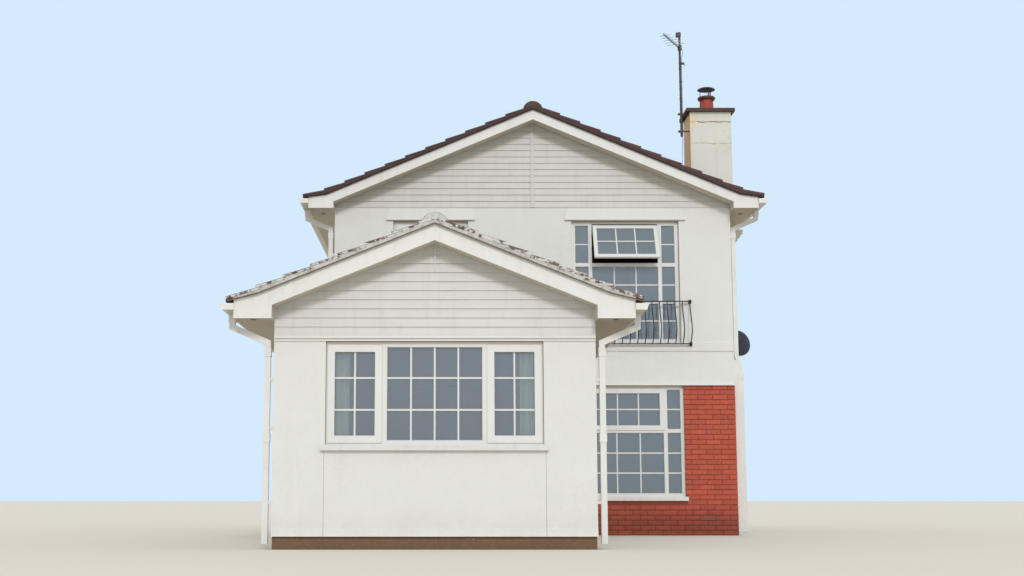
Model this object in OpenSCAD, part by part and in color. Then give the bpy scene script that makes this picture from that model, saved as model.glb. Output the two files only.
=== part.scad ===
// Detached two-storey house with a gable-fronted single-storey extension.
// Millimetres. X runs along the front, Y from the front to the back, Z up.
// The origin lies under the middle of the main block, on the ground.

/* [Main block] */
// Width over the side walls
main_w = 6080; // [5800:10:7000]
// Depth from the front wall to the rear wall
main_d = 7600; // [7000:10:9000]
// Thickness of the main walls
wall_t = 290; // [200:5:350]
// Height of the ground floor's surface above the ground
floor_z = 150; // [100:5:250]
// Height of the ceiling over the ground floor
storey_z = 2400; // [2250:5:2500]
// Thickness of the first floor with its joists and ceiling
first_floor_t = 250; // [180:5:350]
// Height of the top of the bare brickwork at the front
brick_top_z = 2240; // [2100:5:2400]
// Height at which the walls end and the gable boarding starts
eaves_z = 4980; // [4900:5:5400]
// Thickness of the render coat where it stands proud of the brickwork
render_t = 20; // [10:1:30]
// How far the foot of the render flares out to throw off water
bellcast_out = 22; // [10:1:40]
// Height of the flared foot
bellcast_h = 80; // [50:5:150]
// Height of the lower edge of the string band
band_z = 2762; // [2700:2:2800]
// Height of the string band's face
band_h = 125; // [80:5:130]
// How far the string band stands proud of the render
band_out = 15; // [8:1:30]

/* [Main roof] */
// Pitch of the main roof in degrees
main_pitch = 22.9; // [18:0.1:30]
// Rise from the wall head to the underside of the roof at the wall face
main_plate_rise = 183; // [130:1:200]
// How far the fascia's face stands out from the side wall
main_fascia_out = 380; // [330:5:420]
// Height of the boxed eaves' underside, measured down from the wall head
main_box_drop = 66; // [40:2:120]
// How far the gable's bargeboards stand in front of the wall
main_verge_out = 300; // [200:5:400]
// Depth of the bargeboards, measured plumb
main_barge_h = 150; // [140:2:200]
// Distance from the wall face to where the roof turns flatter
main_kick_out = 105; // [10:5:150]
// Fall of the flatter eaves, as a slope
main_kick_fall = 0.14; // [0.1:0.01:0.25]
// Distance between the tile courses, measured level
main_gauge = 308; // [250:2:350]

/* [Tiles and ridges] */
// Thickness of battens and tiles over the roof's underside
tile_t = 60; // [50:2:110]
// Thickness of a tile's tail, which makes the step between two courses
tile_step = 28; // [15:1:35]
// Thickness of the lowest course at its tail
eaves_tail_t = 45; // [35:1:60]
// How far the lowest tiles reach past the fascia
eaves_over = 82; // [60:1:100]
// Level width of the lowest course
eaves_course = 320; // [280:5:360]
// How far the tiles reach past the bargeboards
verge_over = 35; // [20:1:60]
// Outer radius of the half-round ridge tiles
ridge_r = 151; // [110:1:170]
// Height of the ridge tiles' top over the point where the slopes meet
ridge_rise = 66; // [50:2:90]

/* [Eaves and rainwater] */
// Thickness of fascias and bargeboards
board_t = 20; // [15:1:30]
// Thickness of the soffit boards
soft_board_t = 12; // [9:1:18]
// How far the verge soffit lies above the lower edge of the bargeboard
verge_soffit_up = 8; // [4:1:20]
// Width of the gutter
gutter_w = 144; // [136:2:160]
// Width of the gutter's flat bottom
gutter_foot_w = 120; // [100:1:125]
// How far the lip along the gutter's top edge stands out
gutter_lip = 6; // [3:1:9]
// Height of that lip
gutter_lip_h = 12; // [8:1:20]
// Height of the gutter
gutter_h = 70; // [60:2:90]
// Wall of the gutters, thick enough to stand for their rolled lips
gutter_wall = 5; // [4:0.5:8]
// Gap between the tile tails and the gutter's top
gutter_drop = 14; // [4:1:20]
// Side of the square downpipes
pipe_w = 65; // [60:1:75]
// Gap between a downpipe and its wall
pipe_gap = 42; // [15:1:50]
// Length of the straight drop under a gutter outlet
pipe_drop = 145; // [100:5:180]
// Slope of the bent offset that leads back to the wall, in degrees
pipe_slope = 23.5; // [18:0.5:30]
// Width of a pipe socket
socket_w = 78; // [74:1:84]
// Height of a pipe socket
socket_h = 95; // [60:5:120]
// Distance of the extension's downpipes behind its front wall's face
pipe_set = 70; // [50:5:120]
// Distance of the main block's downpipes behind its front wall's face
main_pipe_set = 190; // [120:5:260]
// Distance by which the right main downpipe steps out near the ground floor
pipe_step_out = 65; // [40:5:100]
// Height of the lower end of that step
pipe_step_z = 2450; // [2300:10:2500]
// Height of the step itself
pipe_step_h = 265; // [150:5:350]
// Height of the top of the white packer behind the pipe under the step
packer_top_z = 2640; // [2300:10:2700]
// Height of a downpipe's open foot above the ground
pipe_foot_z = 60; // [30:5:150]
// Distance of the end clips from a downpipe's foot and from its upper bend
clip_end = 420; // [300:10:600]

/* [Extension] */
// Width over the extension's side walls
ext_w = 3494; // [3300:2:3700]
// How far the extension stands in front of the main block
ext_d = 6250; // [5500:10:7000]
// Distance of the extension's right wall from the main block's right corner
ext_right_set = 2726; // [2640:2:2800]
// Thickness of the extension's walls
ext_wall_t = 220; // [150:5:280]
// Height of the brown plinth
plinth_h = 138; // [90:2:200]
// How far the plinth stands back behind the render
plinth_in = 10; // [5:1:25]
// How far the extension's render flares at its foot
ext_bellcast_out = 38; // [20:1:50]
// Height of that flare
ext_bellcast_h = 95; // [60:5:150]
// Height at which the extension's gable boarding starts
ext_head_z = 2290; // [2260:5:2350]
// Pitch of the extension's roof in degrees
ext_pitch = 22; // [18:0.5:26]
// Height of the roof's underside at the extension's wall face
ext_plate_z = 2767; // [2690:1:2800]
// How far the extension's fascia stands out from its wall
ext_fascia_out = 408; // [350:2:430]
// Height of the underside of the extension's boxed eaves
ext_box_z = 2450; // [2400:2:2500]
// How far the extension's bargeboards stand in front of its wall
ext_verge_out = 270; // [200:5:350]
// Depth of the extension's bargeboards, measured plumb
ext_barge_h = 173; // [150:1:200]
// Distance from the extension's wall to where its roof turns flatter
ext_kick_out = 140; // [50:5:180]
// Fall of the extension's flatter eaves, as a slope
ext_kick_fall = 0.25; // [0.12:0.01:0.3]
// Distance between the extension's tile courses, measured level
ext_gauge = 291; // [250:1:330]

/* [Gable boarding] */
// Thickness of the gable walls behind the boards
gable_t = 120; // [100:5:200]
// Height of one lap of the boarding
lap_h = 100; // [80:5:130]
// How far the lower edge of a board stands over the one below
lap_out = 12; // [6:1:18]
// Width of the cover strip down the middle of the main gables
strip_w = 50; // [40:2:80]
// Width of the one on the extension's gable
ext_strip_w = 22; // [16:2:60]
// Thickness of that strip over the boards
strip_t = 8; // [4:1:15]
// Length of the short strip at the top of the extension's gable
ext_strip_len = 310; // [150:10:600]

/* [Windows] */
// Depth of the window frames from front to back
frame_d = 70; // [60:2:90]
// Width of the outer frame's face
frame_face = 60; // [45:1:65]
// Width of a mullion or transom
bar_face = 54; // [45:1:65]
// How far the frames stand back from the wall's face
reveal = 45; // [20:5:80]
// Thickness of the sealed glass
glass_t = 24; // [20:1:32]
// Distance of the middle of the two tall windows from the main block's right corner
tall_set = 1620; // [1580:5:1660]
// Width of the lower storey-height window
lower_w = 1705; // [1600:5:1750]
// How far the lower window sits to the right of that centre
lower_shift = 8; // [0:1:20]
// Height of the lower window's opening above the ground
lower_sill_z = 560; // [450:10:700]
// Height of the lower window's transom
lower_transom_z = 1555; // [1450:5:1650]
// Width of the upper storey-height window
upper_w = 1650; // [1600:10:1700]
// Height of the foot of the upper window
upper_sill_z = 2888; // [2880:1:2950]
// Height of the head of both upper windows
upper_head_z = 4770; // [4650:5:4790]
// Height of the upper window's transom
upper_transom_z = 4097; // [4000:1:4200]
// Clear width of the side lights of both storey-height windows
side_light_w = 205; // [180:5:240]
// Angle at which the top-hung vent stands open, in degrees
vent_angle = 28; // [10:1:40]
// Height of the vent's sash
vent_h = 615; // [560:5:640]
// Distance by which the open vent's head has slid down its stays
vent_slide = 18; // [5:1:30]
// Width of a sash's face
sash_face = 64; // [50:1:75]
// Play between the vent and its frame
vent_play = 9; // [2:1:12]
// Distance down the vent's side at which its stays are fixed
stay_down = 180; // [120:5:260]
// Width of a stay
stay_w = 16; // [10:1:22]
// Centre of the small upper window, left of the main block's middle
small_x = 1565; // [1500:5:1600]
// Width of the small upper window
small_w = 1150; // [1000:10:1200]
// Height of the foot of the small upper window
small_sill_z = 3900; // [3850:10:4000]
// Distance of the extension's window left of the middle of its wall
ext_win_shift = 2; // [0:1:20]
// Width of the extension's window
ext_win_w = 2365; // [2200:5:2450]
// Height of the foot of the extension's window
ext_sill_z = 1099; // [1000:1:1200]
// Height of the head of the extension's window
ext_win_head_z = 2234; // [2150:1:2234]
// Clear width of each side casement of the extension's window
casement_w = 549; // [450:1:600]
// Height of a projecting window sill
sill_h = 48; // [35:1:60]
// Height of a sill's top over the foot of its opening
sill_bed = 12; // [6:1:20]
// How far a sill reaches past the wall's face
sill_out = 60; // [40:2:90]
// How far a sill reaches past each side of its window
sill_side = 45; // [20:5:80]
// How far the render hood over an upper window stands out at its foot
hood_out = 38; // [20:1:50]
// Height of the lower edge of those hoods above the window head
hood_up = 12; // [8:1:20]
// How far a hood reaches past each side of its window
hood_side = 105; // [60:5:130]
// How much narrower a hood is at each side of its top
hood_splay = 45; // [20:5:60]
// Height of the moulding over the extension's window
lintel_h = 56; // [40:2:56]
// How far the moulding stands out
lintel_out = 30; // [20:1:45]

/* [Rear and side] */
// Distance of the rear windows' centres from the middle
rear_win_x = 1500; // [1350:10:1650]
// Width of the rear windows
rear_win_w = 1200; // [1000:10:1500]
// Height of the rear ground-floor windows' feet
rear_low_z = 1100; // [1000:10:1200]
// Height of the rear ground-floor windows' heads
rear_low_head_z = 2150; // [2100:10:2200]
// Height of the rear upper windows' feet
rear_high_z = 3720; // [3600:10:3900]
// Distance of the entrance door behind the front wall's face
door_y = 3000; // [2200:10:4000]
// Width of the entrance door's opening
door_w = 930; // [850:10:1050]
// Height of the entrance door's opening above the floor
door_h = 2030; // [1980:5:2080]
// Thickness of the door leaf
door_t = 50; // [40:1:60]
// How far the door leaf stands back behind its frame's face
door_in = 10; // [0:1:20]

/* [Railing] */
// Height of the railing's lower rail
rail_low_z = 2865; // [2850:1:2950]
// Height of the railing from the lower rail to the upper one
rail_h = 648; // [550:2:800]
// Length of the railing
rail_len = 1960; // [1850:10:2000]
// Thickness of the flat rails and of the bars
rail_bar = 15; // [10:1:20]
// Distance of the rails from the face of the render
rail_off = 70; // [50:5:100]
// How far the belly of the bars stands in front of the rails
belly_out = 165; // [80:5:200]
// Distance between the bars
bar_pitch = 115; // [90:1:120]
// How far the railing sits to the left of the window's centre
rail_shift = 22; // [0:1:40]
// Share of the height at which a bar bends back, below 1 to keep the belly low
belly_power = 0.62; // [0.5:0.01:1]

/* [Chimney and aerials] */
// How far the chimney breast stands out from the right wall
breast_out = 352; // [300:2:370]
// Width of the stack from left to right
stack_w = 682; // [600:2:720]
// Depth of the stack from front to back
stack_d = 650; // [500:5:800]
// Distance of the chimney behind the front wall's face
stack_y = 1460; // [1300:10:1800]
// Height of the top of the stack
stack_top_z = 6898; // [6700:2:7300]
// Height of the three corbel courses under the eaves, together
corbel_h = 190; // [150:5:240]
// How far the top corbel course stands out from the breast
corbel_out = 145; // [60:5:170]
// Height of the shoulder at the foot of the breast
shoulder_z = 2400; // [2000:10:2600]
// How far the foot of the breast stands out under the shoulder
shoulder_out = 80; // [40:5:120]
// Height of the shoulder's slope
shoulder_rise = 160; // [80:10:240]
// Thickness of the cap slab
cap_t = 57; // [40:1:100]
// How far the cap slab oversails the stack
cap_out = 60; // [30:2:90]
// Diameter of the pot at its foot
pot_d = 235; // [200:5:280]
// Height of the pot
pot_h = 284; // [250:2:400]
// Wall of the pot
pot_wall = 28; // [20:1:35]
// Diameter of the pot's rim and of the cowl
rim_d = 295; // [285:5:320]
// Height of the rim roll
rim_h = 50; // [40:2:90]
// Gap between the pot and the cowl's hood
cowl_gap = 122; // [50:1:140]
// Height of the cowl's domed hood
cowl_h = 46; // [30:1:70]
// Number of straps under the hood
strap_count = 3; // [3:1:6]
// Width of such a strap
cowl_strap_w = 20; // [12:1:30]
// Thickness of such a strap
cowl_strap_t = 8; // [4:1:10]
// Turn of the first strap from the right, in degrees
strap_turn = 40; // [0:5:90]
// Distance of the aerial mast from the stack's side
mast_off = 127; // [90:1:150]
// Diameter of the aerial mast
mast_d = 38; // [30:1:50]
// Height of the foot of the mast
mast_foot_z = 6500; // [6480:5:6560]
// Length of the mast
mast_len = 1800; // [1500:10:2200]
// Distance of the mast behind the stack's front face
mast_y = 90; // [60:5:150]
// Height of the mast's lower bracket above the mast's foot
bracket_low = 80; // [40:5:150]
// Height of its upper bracket above the foot
bracket_high = 375; // [250:5:375]
// Width of the brackets
bracket_w = 30; // [20:1:40]
// Height of the brackets
bracket_t = 20; // [10:1:20]
// Length of the aerial's boom
boom_len = 830; // [600:10:1000]
// How far the boom runs on behind the mast
boom_tail = 30; // [20:5:80]
// Thickness of the boom
boom_t = 28; // [18:1:34]
// Turn of the boom from straight ahead towards the left, in degrees
boom_turn = 27; // [10:1:45]
// Drop of the boom below the top of the mast
boom_drop = 270; // [200:5:350]
// Number of elements along the boom
element_count = 5; // [3:1:9]
// Distance of the first element in front of the mast
element_first = 210; // [60:5:300]
// Distance between the elements
element_gap = 130; // [60:5:150]
// Share by which the last element is shorter than the first
element_taper = 0.4; // [0:0.05:0.6]
// Thickness of the elements
element_t = 8; // [6:1:12]
// Length of the longest element
element_len = 300; // [200:10:500]
// Reach of the clamp at the top of the mast to the left
clamp_reach = 55; // [30:5:80]
// Width of that clamp
clamp_w = 24; // [16:2:34]
// Height of that clamp
clamp_h = 60; // [30:5:80]
// Distance of the clamp's top below the mast's top
clamp_drop = 20; // [10:5:60]
// Diameter of the satellite dish
dish_d = 410; // [350:10:500]
// Height of the middle of the dish
dish_z = 2925; // [2900:5:3200]
// Distance of the dish behind the front wall's face
dish_y = 500; // [350:10:700]
// Distance of the middle of the dish from the right wall
dish_off = 154; // [150:1:260]
// Turn of the dish from straight ahead towards the right and round to the back, in degrees
dish_turn = 135; // [125:5:145]
// Tilt of the dish's axis from plumb, in degrees
dish_tilt = 70; // [60:1:85]
// Depth of the dish as a share of its diameter
dish_bowl = 0.1; // [0.06:0.01:0.14]
// Thickness of the dish
dish_t = 6; // [4:1:8]
// Diameter of the hub behind the dish
hub_d = 60; // [40:2:80]
// Length of that hub
hub_len = 30; // [20:1:40]
// Side of the square arm from the wall to the hub
dish_arm = 40; // [30:1:50]

/* [Hidden] */
$fn = 48;

// Half widths and the planes that everything lines up with
half_w = main_w / 2;
half_d = main_d / 2;
front_y = -half_d;
render_y = front_y - render_t;
ext_half_w = ext_w / 2;
ext_x = ext_half_w + ext_right_set - half_w;
tall_x = half_w - tall_set;
ext_win_x = ext_x + ext_win_shift;
ext_front_y = front_y - ext_d;
plate_z = eaves_z + main_plate_rise;
box_z = eaves_z - main_box_drop;
stack_left_x = half_w + breast_out - stack_w;
stack_front_y = front_y + stack_y;
first_floor_z = storey_z + first_floor_t;

// Ends of the tiles at the gables
main_verge_front = render_y - lap_out - main_verge_out - verge_over;
main_verge_rear = half_d + lap_out + main_verge_out + verge_over;
ext_verge_y = ext_front_y - lap_out - ext_verge_out - verge_over;

// A block's roof as [half width, plate height, pitch, kick start, kick fall, fascia, gauge]
main_roof_form = [half_w, plate_z, main_pitch, main_kick_out, main_kick_fall, main_fascia_out, main_gauge];
ext_roof_form = [ext_half_w, ext_plate_z, ext_pitch, ext_kick_out, ext_kick_fall, ext_fascia_out, ext_gauge];

function kick_x(r) = r[0] + r[3];
function fascia_x(r) = r[0] + r[5];
function tail_x(r) = fascia_x(r) + eaves_over;
function plane_z(r, x) = r[1] + (r[0] - x) * tan(r[2]);
function kick_z(r, x) = plane_z(r, kick_x(r)) - (x - kick_x(r)) * r[4];

// Height of the roof's underside at a distance x from the ridge line
function under_z(r, x) = x <= kick_x(r) ? plane_z(r, x) : kick_z(r, x);
function tail_foot_z(r) = under_z(r, tail_x(r));
function tail_top_z(r) = tail_foot_z(r) + eaves_tail_t;

// Level distances from the ridge line at which a tile course ends, ridge first
function course_ends(r) =
    let (low = tail_x(r) - eaves_course, count = floor((low - r[6] / 4) / r[6]))
    [for (i = [count : -1 : 0]) low - i * r[6]];

// Stepped line of the tile courses, from the tail up to the ridge
function course_line(r) = concat(
    [[tail_x(r), tail_top_z(r)]],
    [for (i = [len(course_ends(r)) - 1 : -1 : 0]) let (x = course_ends(r)[i])
        each [[x, under_z(r, x) + tile_t], [x, under_z(r, x) + tile_t + tile_step]]],
    [[0, under_z(r, 0) + tile_t]]
);

// Outline of one slope, with the underside first and then the stepped courses
function slope_outline(r) = concat(
    [[0, under_z(r, 0)], [kick_x(r), under_z(r, kick_x(r))], [tail_x(r), tail_foot_z(r)]],
    course_line(r)
);

// The same points on the other side of the ridge line, in the opposite order
function mirrored(points) = [for (i = [len(points) - 1 : -1 : 0]) [-points[i][0], points[i][1]]];

// Extrudes an outline drawn in X and Z along Y, from y0 to y1
module along_y(y0, y1) {
    translate([0, y1, 0])
        rotate([90, 0, 0])
            linear_extrude(height = y1 - y0)
                children();
}

// Extrudes an outline drawn in Y and Z along X, from x0 to x1
module along_x(x0, x1) {
    translate([x0, 0, 0])
        rotate([90, 0, 90])
            linear_extrude(height = x1 - x0)
                children();
}

// Box given by its lowest and highest corners
module block(low, high) {
    translate(low)
        cube(high - low);
}

// One slope on the right of the ridge line
module roof_slope(r, y0, y1) {
    along_y(y0, y1)
        polygon(slope_outline(r));
}

// Half-round ridge bedded on both slopes
module ridge(r, y0, y1) {
    top = under_z(r, 0) + tile_t + ridge_rise;
    right = concat([[tail_x(r), 0]], course_line(r));
    difference() {
        along_y(y0, y1)
            translate([0, top - ridge_r])
                circle(r = ridge_r);
        along_y(y0 - 1, y1 + 1)
            polygon(concat(right, mirrored(right)));
    }
}

// Right half of a bargeboard with its boxed foot, from the apex outwards and back
function barge_half(r, foot_z, h) = [
    [0, under_z(r, 0)], [kick_x(r), under_z(r, kick_x(r))], [fascia_x(r), under_z(r, fascia_x(r))],
    [fascia_x(r), foot_z], [r[0], foot_z], [r[0], plane_z(r, r[0]) - h], [0, plane_z(r, 0) - h]
];

// Bargeboards at one gable, with the sloping soffit behind them; the wall's face is at wall_y
// and side is -1 where the boards stand in front of it and 1 where they stand behind it
module barge_pair(r, foot_z, h, out, wall_y, side) {
    face = wall_y + side * out;
    back = face - side * board_t;
    right = barge_half(r, foot_z, h);
    soffit_low = h - verge_soffit_up;
    soffit_high = soffit_low - soft_board_t;
    along_y(min(face, back), max(face, back))
        polygon(concat(right, mirrored(right)));
    along_y(min(back, wall_y), max(back, wall_y))
        polygon([
            [0, plane_z(r, 0) - soffit_high], [r[0], plane_z(r, r[0]) - soffit_high],
            [r[0], plane_z(r, r[0]) - soffit_low], [0, plane_z(r, 0) - soffit_low],
            [-r[0], plane_z(r, r[0]) - soffit_low], [-r[0], plane_z(r, r[0]) - soffit_high]
        ]);
}

// Boxed eaves on the right side: fascia and soffit between y0 and y1, with the lining that
// closes the box where it passes a gable, up to lining_front and from lining_rear on
module eaves_box(r, foot_z, y0, y1, lining_front, lining_rear) {
    inner_x = fascia_x(r) - board_t;
    along_y(y0, y1)
        polygon([
            [r[0], foot_z], [fascia_x(r), foot_z], [fascia_x(r), under_z(r, fascia_x(r))],
            [inner_x, under_z(r, inner_x)], [inner_x, foot_z + soft_board_t], [r[0], foot_z + soft_board_t]
        ]);
    lining = [
        [r[0], foot_z + soft_board_t], [r[0] + soft_board_t, foot_z + soft_board_t],
        [r[0] + soft_board_t, under_z(r, r[0] + soft_board_t)], [r[0], under_z(r, r[0])]
    ];
    if (lining_front > y0)
        along_y(y0, lining_front)
            polygon(lining);
    if (lining_rear < y1)
        along_y(lining_rear, y1)
            polygon(lining);
}

// Outline of a square-line gutter against its fascia, drawn from the fascia's face outwards
gutter_outer = [
    [0, gutter_h], [0, 0], [gutter_foot_w, 0], [gutter_w - gutter_lip, gutter_h - gutter_lip_h],
    [gutter_w, gutter_h - gutter_lip_h], [gutter_w, gutter_h]
];

// Outline of its trough, drawn past the open top
gutter_inner = [
    [gutter_wall, gutter_h + 1], [gutter_wall, gutter_wall], [gutter_foot_w - gutter_wall, gutter_wall],
    [gutter_w - gutter_lip - gutter_wall, gutter_h - gutter_lip_h],
    [gutter_w - gutter_lip - gutter_wall, gutter_h + 1]
];

// Gutter along the right side, open at the top, with a closed stop at each end
module gutter(r, y0, y1) {
    z0 = tail_foot_z(r) - gutter_drop - gutter_h;
    difference() {
        along_y(y0, y1)
            translate([fascia_x(r), z0])
                polygon(gutter_outer);
        along_y(y0 + gutter_wall, y1 - gutter_wall)
            translate([fascia_x(r), z0])
                polygon(gutter_inner);
    }
}

// Socket ring round a square pipe whose middle is at x, y
module socket(x, y, z) {
    translate([x - socket_w / 2, y - socket_w / 2, z])
        cube([socket_w, socket_w, socket_h]);
}

// Wall clip that reaches from the wall's face to a pipe
module pipe_clip(wall_x, x, y, z) {
    block([wall_x, y - pipe_w / 3, z], [x, y + pipe_w / 3, z + pipe_w / 2]);
}

// Downpipe on the right side: outlet, straight drop, bent offset to the wall and the pipe down
// to foot_z; step moves the pipe outwards again above step_z, off a packer on the wall
module downpipe(r, y, foot_z, step, step_z) {
    half = pipe_w / 2;
    outlet_x = fascia_x(r) + gutter_foot_w / 2;
    pipe_x = r[0] + pipe_gap + half;
    top_z = tail_foot_z(r) - gutter_drop - gutter_h;
    bend_z = top_z - pipe_drop;
    land_z = bend_z - (outlet_x - pipe_x) * tan(pipe_slope);
    low_x = pipe_x + step;
    step_top_z = step_z + pipe_step_h;
    mitre = half * tan(45 - pipe_slope / 2);
    low_part = step == 0
        ? [[pipe_x + half, foot_z], [pipe_x - half, foot_z]]
        : [[pipe_x + half, step_top_z], [low_x + half, step_z], [low_x + half, foot_z],
           [low_x - half, foot_z], [low_x - half, step_z], [pipe_x - half, step_top_z]];
    along_y(y - half, y + half)
        polygon(concat(
            [[outlet_x + half, top_z], [outlet_x + half, bend_z - mitre], [pipe_x + half, land_z - mitre]],
            low_part,
            [[pipe_x - half, land_z + mitre], [outlet_x - half, bend_z + mitre], [outlet_x - half, top_z]]
        ));
    socket(outlet_x, y, top_z - socket_h);
    socket(pipe_x, y, land_z - socket_h * 1.6);
    socket(low_x, y, step == 0 ? (foot_z + land_z) / 2 : step_z - socket_h);
    for (z = [foot_z + clip_end, (foot_z + land_z) / 2 + clip_end / 3, land_z - clip_end])
        pipe_clip(r[0], z < step_z ? low_x : pipe_x, y, z);
    if (step > 0)
        block([r[0], y - half, foot_z], [low_x - half, y + half, packer_top_z]);
}

// Frame of width w and height h with its lower left front corner at the origin; posts and
// rails are the middles of its mullions and of the transoms that run the whole width
module window_frame(w, h, posts, rails) {
    xs = concat([frame_face - bar_face / 2], posts, [w - frame_face + bar_face / 2]);
    zs = concat([frame_face - bar_face / 2], rails, [h - frame_face + bar_face / 2]);
    difference() {
        cube([w, frame_d, h]);
        for (i = [0 : len(xs) - 2])
            for (j = [0 : len(zs) - 2])
                translate([xs[i] + bar_face / 2, -1, zs[j] + bar_face / 2])
                    cube([xs[i + 1] - xs[i] - bar_face, frame_d + 2, zs[j + 1] - zs[j] - bar_face]);
    }
}

// Sheets of glass that fill the lights of such a frame, apart from those named in skip
module window_glass(w, h, posts, rails, skip) {
    xs = concat([frame_face - bar_face / 2], posts, [w - frame_face + bar_face / 2]);
    zs = concat([frame_face - bar_face / 2], rails, [h - frame_face + bar_face / 2]);
    for (i = [0 : len(xs) - 2])
        for (j = [0 : len(zs) - 2])
            if (len([for (s = skip) if (s == [i, j]) s]) == 0)
                translate([xs[i] + bar_face / 2, (frame_d - glass_t) / 2, zs[j] + bar_face / 2])
                    cube([xs[i + 1] - xs[i] - bar_face, glass_t, zs[j + 1] - zs[j] - bar_face]);
}

// Corners, sizes and divisions of the front windows, from their left ends
frame_y = front_y + reveal;
ext_frame_y = ext_front_y + reveal;
lower_x0 = tall_x + lower_shift - lower_w / 2;
upper_x0 = tall_x - upper_w / 2;
small_x0 = -small_x - small_w / 2;
ext_win_x0 = -ext_win_x - ext_win_w / 2;
side_post = frame_face + side_light_w + bar_face / 2;
lower_h = brick_top_z - lower_sill_z;
upper_h = upper_head_z - upper_sill_z;
small_h = upper_head_z - small_sill_z;
ext_win_h = ext_win_head_z - ext_sill_z;
lower_posts = [side_post, lower_w - side_post];
lower_rails = [lower_transom_z - lower_sill_z];
upper_posts = [side_post, upper_w - side_post];
upper_rails = [upper_transom_z - upper_sill_z];
casement_post = frame_face + casement_w + bar_face / 2;
ext_posts = [casement_post, ext_win_w - casement_post];
rear_post = [rear_win_w / 2];

module place(x, y, z) {
    translate([x, y, z])
        children();
}

// Ground floor slab of the main block, up to the inner faces of the walls
module main_floor_slab() {
    color("#9a958c")
        block([-half_w + wall_t, front_y + wall_t, 0], [half_w - wall_t, half_d - wall_t, floor_z]);
}

// Floor slab of the extension
module extension_floor_slab() {
    color("#9a958c")
        block([-ext_x - ext_half_w + ext_wall_t, ext_front_y + ext_wall_t, 0],
              [-ext_x + ext_half_w - ext_wall_t, front_y, floor_z]);
}

// First floor with its joists and ceiling as one plate
module first_floor() {
    color("#b9a88c")
        block([-half_w + wall_t, front_y + wall_t, storey_z],
              [half_w - wall_t, half_d - wall_t, first_floor_z]);
}

// Brick part of the front wall, with the storey-height window cut down from its top
module front_wall_lower() {
    color("#9c3b31")
        difference() {
            block([-half_w, front_y, 0], [half_w, front_y + wall_t, brick_top_z]);
            block([lower_x0, front_y - 1, lower_sill_z],
                  [lower_x0 + lower_w, front_y + wall_t + 1, brick_top_z + 1]);
        }
}

// Where the extension's walls, eaves, gutters and slopes meet the front wall, which has no
// render there
module extension_section() {
    r = ext_roof_form;
    right = concat(
        [[r[0], 0], [r[0], ext_box_z], [fascia_x(r) + gutter_w, ext_box_z],
         [fascia_x(r) + gutter_w, tail_foot_z(r)], [tail_x(r), tail_foot_z(r)]],
        course_line(r)
    );
    translate([-ext_x, 0, 0])
        along_y(front_y - wall_t, front_y)
            polygon(concat(right, mirrored(right)));
}

// Rendered part of the front wall, with a bellcast foot and the string band under the upper window
module front_wall_upper() {
    back = front_y + wall_t;
    color("#e4e4df")
        difference() {
            along_x(-half_w, half_w)
                polygon([
                    [back, brick_top_z], [render_y - bellcast_out, brick_top_z],
                    [render_y - bellcast_out * 0.35, brick_top_z + bellcast_h * 0.4],
                    [render_y, brick_top_z + bellcast_h], [render_y, band_z],
                    [render_y - band_out, band_z], [render_y - band_out, band_z + band_h],
                    [render_y, band_z + band_h + band_out], [render_y, eaves_z], [back, eaves_z]
                ]);
            block([upper_x0, render_y - 100, upper_sill_z], [upper_x0 + upper_w, back + 1, upper_head_z]);
            block([small_x0, render_y - 100, small_sill_z], [small_x0 + small_w, back + 1, upper_head_z]);
            extension_section();
        }
}

// Rear wall with two windows on each floor
module rear_wall() {
    color("#e0dfd8")
        difference() {
            block([-half_w, half_d - wall_t, 0], [half_w, half_d, eaves_z]);
            for (side = [-1, 1]) {
                x0 = side * rear_win_x - rear_win_w / 2;
                block([x0, half_d - wall_t - 1, rear_low_z], [x0 + rear_win_w, half_d + 1, rear_low_head_z]);
                block([x0, half_d - wall_t - 1, rear_high_z], [x0 + rear_win_w, half_d + 1, upper_head_z]);
            }
        }
}

// Side wall on the right, from the ground to the slope of the roof
module side_wall() {
    along_y(front_y + wall_t, half_d - wall_t)
        polygon([
            [half_w - wall_t, 0], [half_w, 0], [half_w, plane_z(main_roof_form, half_w)],
            [half_w - wall_t, plane_z(main_roof_form, half_w - wall_t)]
        ]);
}

module left_wall() {
    color("#e0dfd8")
        difference() {
            mirror([1, 0, 0])
                side_wall();
            block([-half_w - 1, front_y + door_y, floor_z],
                  [-half_w + wall_t + 1, front_y + door_y + door_w, floor_z + door_h]);
        }
}

module right_wall() {
    color("#e0dfd8")
        difference() {
            side_wall();
            block([stack_left_x, stack_front_y, eaves_z],
                  [half_w + 1, stack_front_y + stack_d, stack_top_z]);
        }
}

// Boarded gable with its face at wall_y, side -1 at the front; the laps are cut as saw teeth,
// and a cover strip cover_w wide runs from strip_foot_z up to the bargeboards, board_h deep
module gable(r, base_z, wall_y, side, thick, cover_w, strip_foot_z, board_h) {
    peak = plane_z(r, 0);
    laps = ceil((peak - base_z) / lap_h);
    intersection() {
        along_x(-r[0], r[0])
            polygon(concat(
                [[wall_y - side * thick, base_z]],
                [for (i = [0 : laps - 1])
                    each [[wall_y + side * lap_out, base_z + i * lap_h],
                          [wall_y, base_z + (i + 1) * lap_h]]],
                [[wall_y - side * thick, base_z + laps * lap_h]]
            ));
        along_y(wall_y - thick - lap_out - 1, wall_y + thick + lap_out + 1)
            polygon([
                [-r[0], base_z], [r[0], base_z], [r[0], plane_z(r, r[0])],
                [0, peak], [-r[0], plane_z(r, r[0])]
            ]);
    }
    strip_y = wall_y + side * (lap_out + strip_t);
    block([-cover_w / 2, min(wall_y, strip_y), strip_foot_z],
          [cover_w / 2, max(wall_y, strip_y), plane_z(r, cover_w / 2) - board_h]);
}

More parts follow.
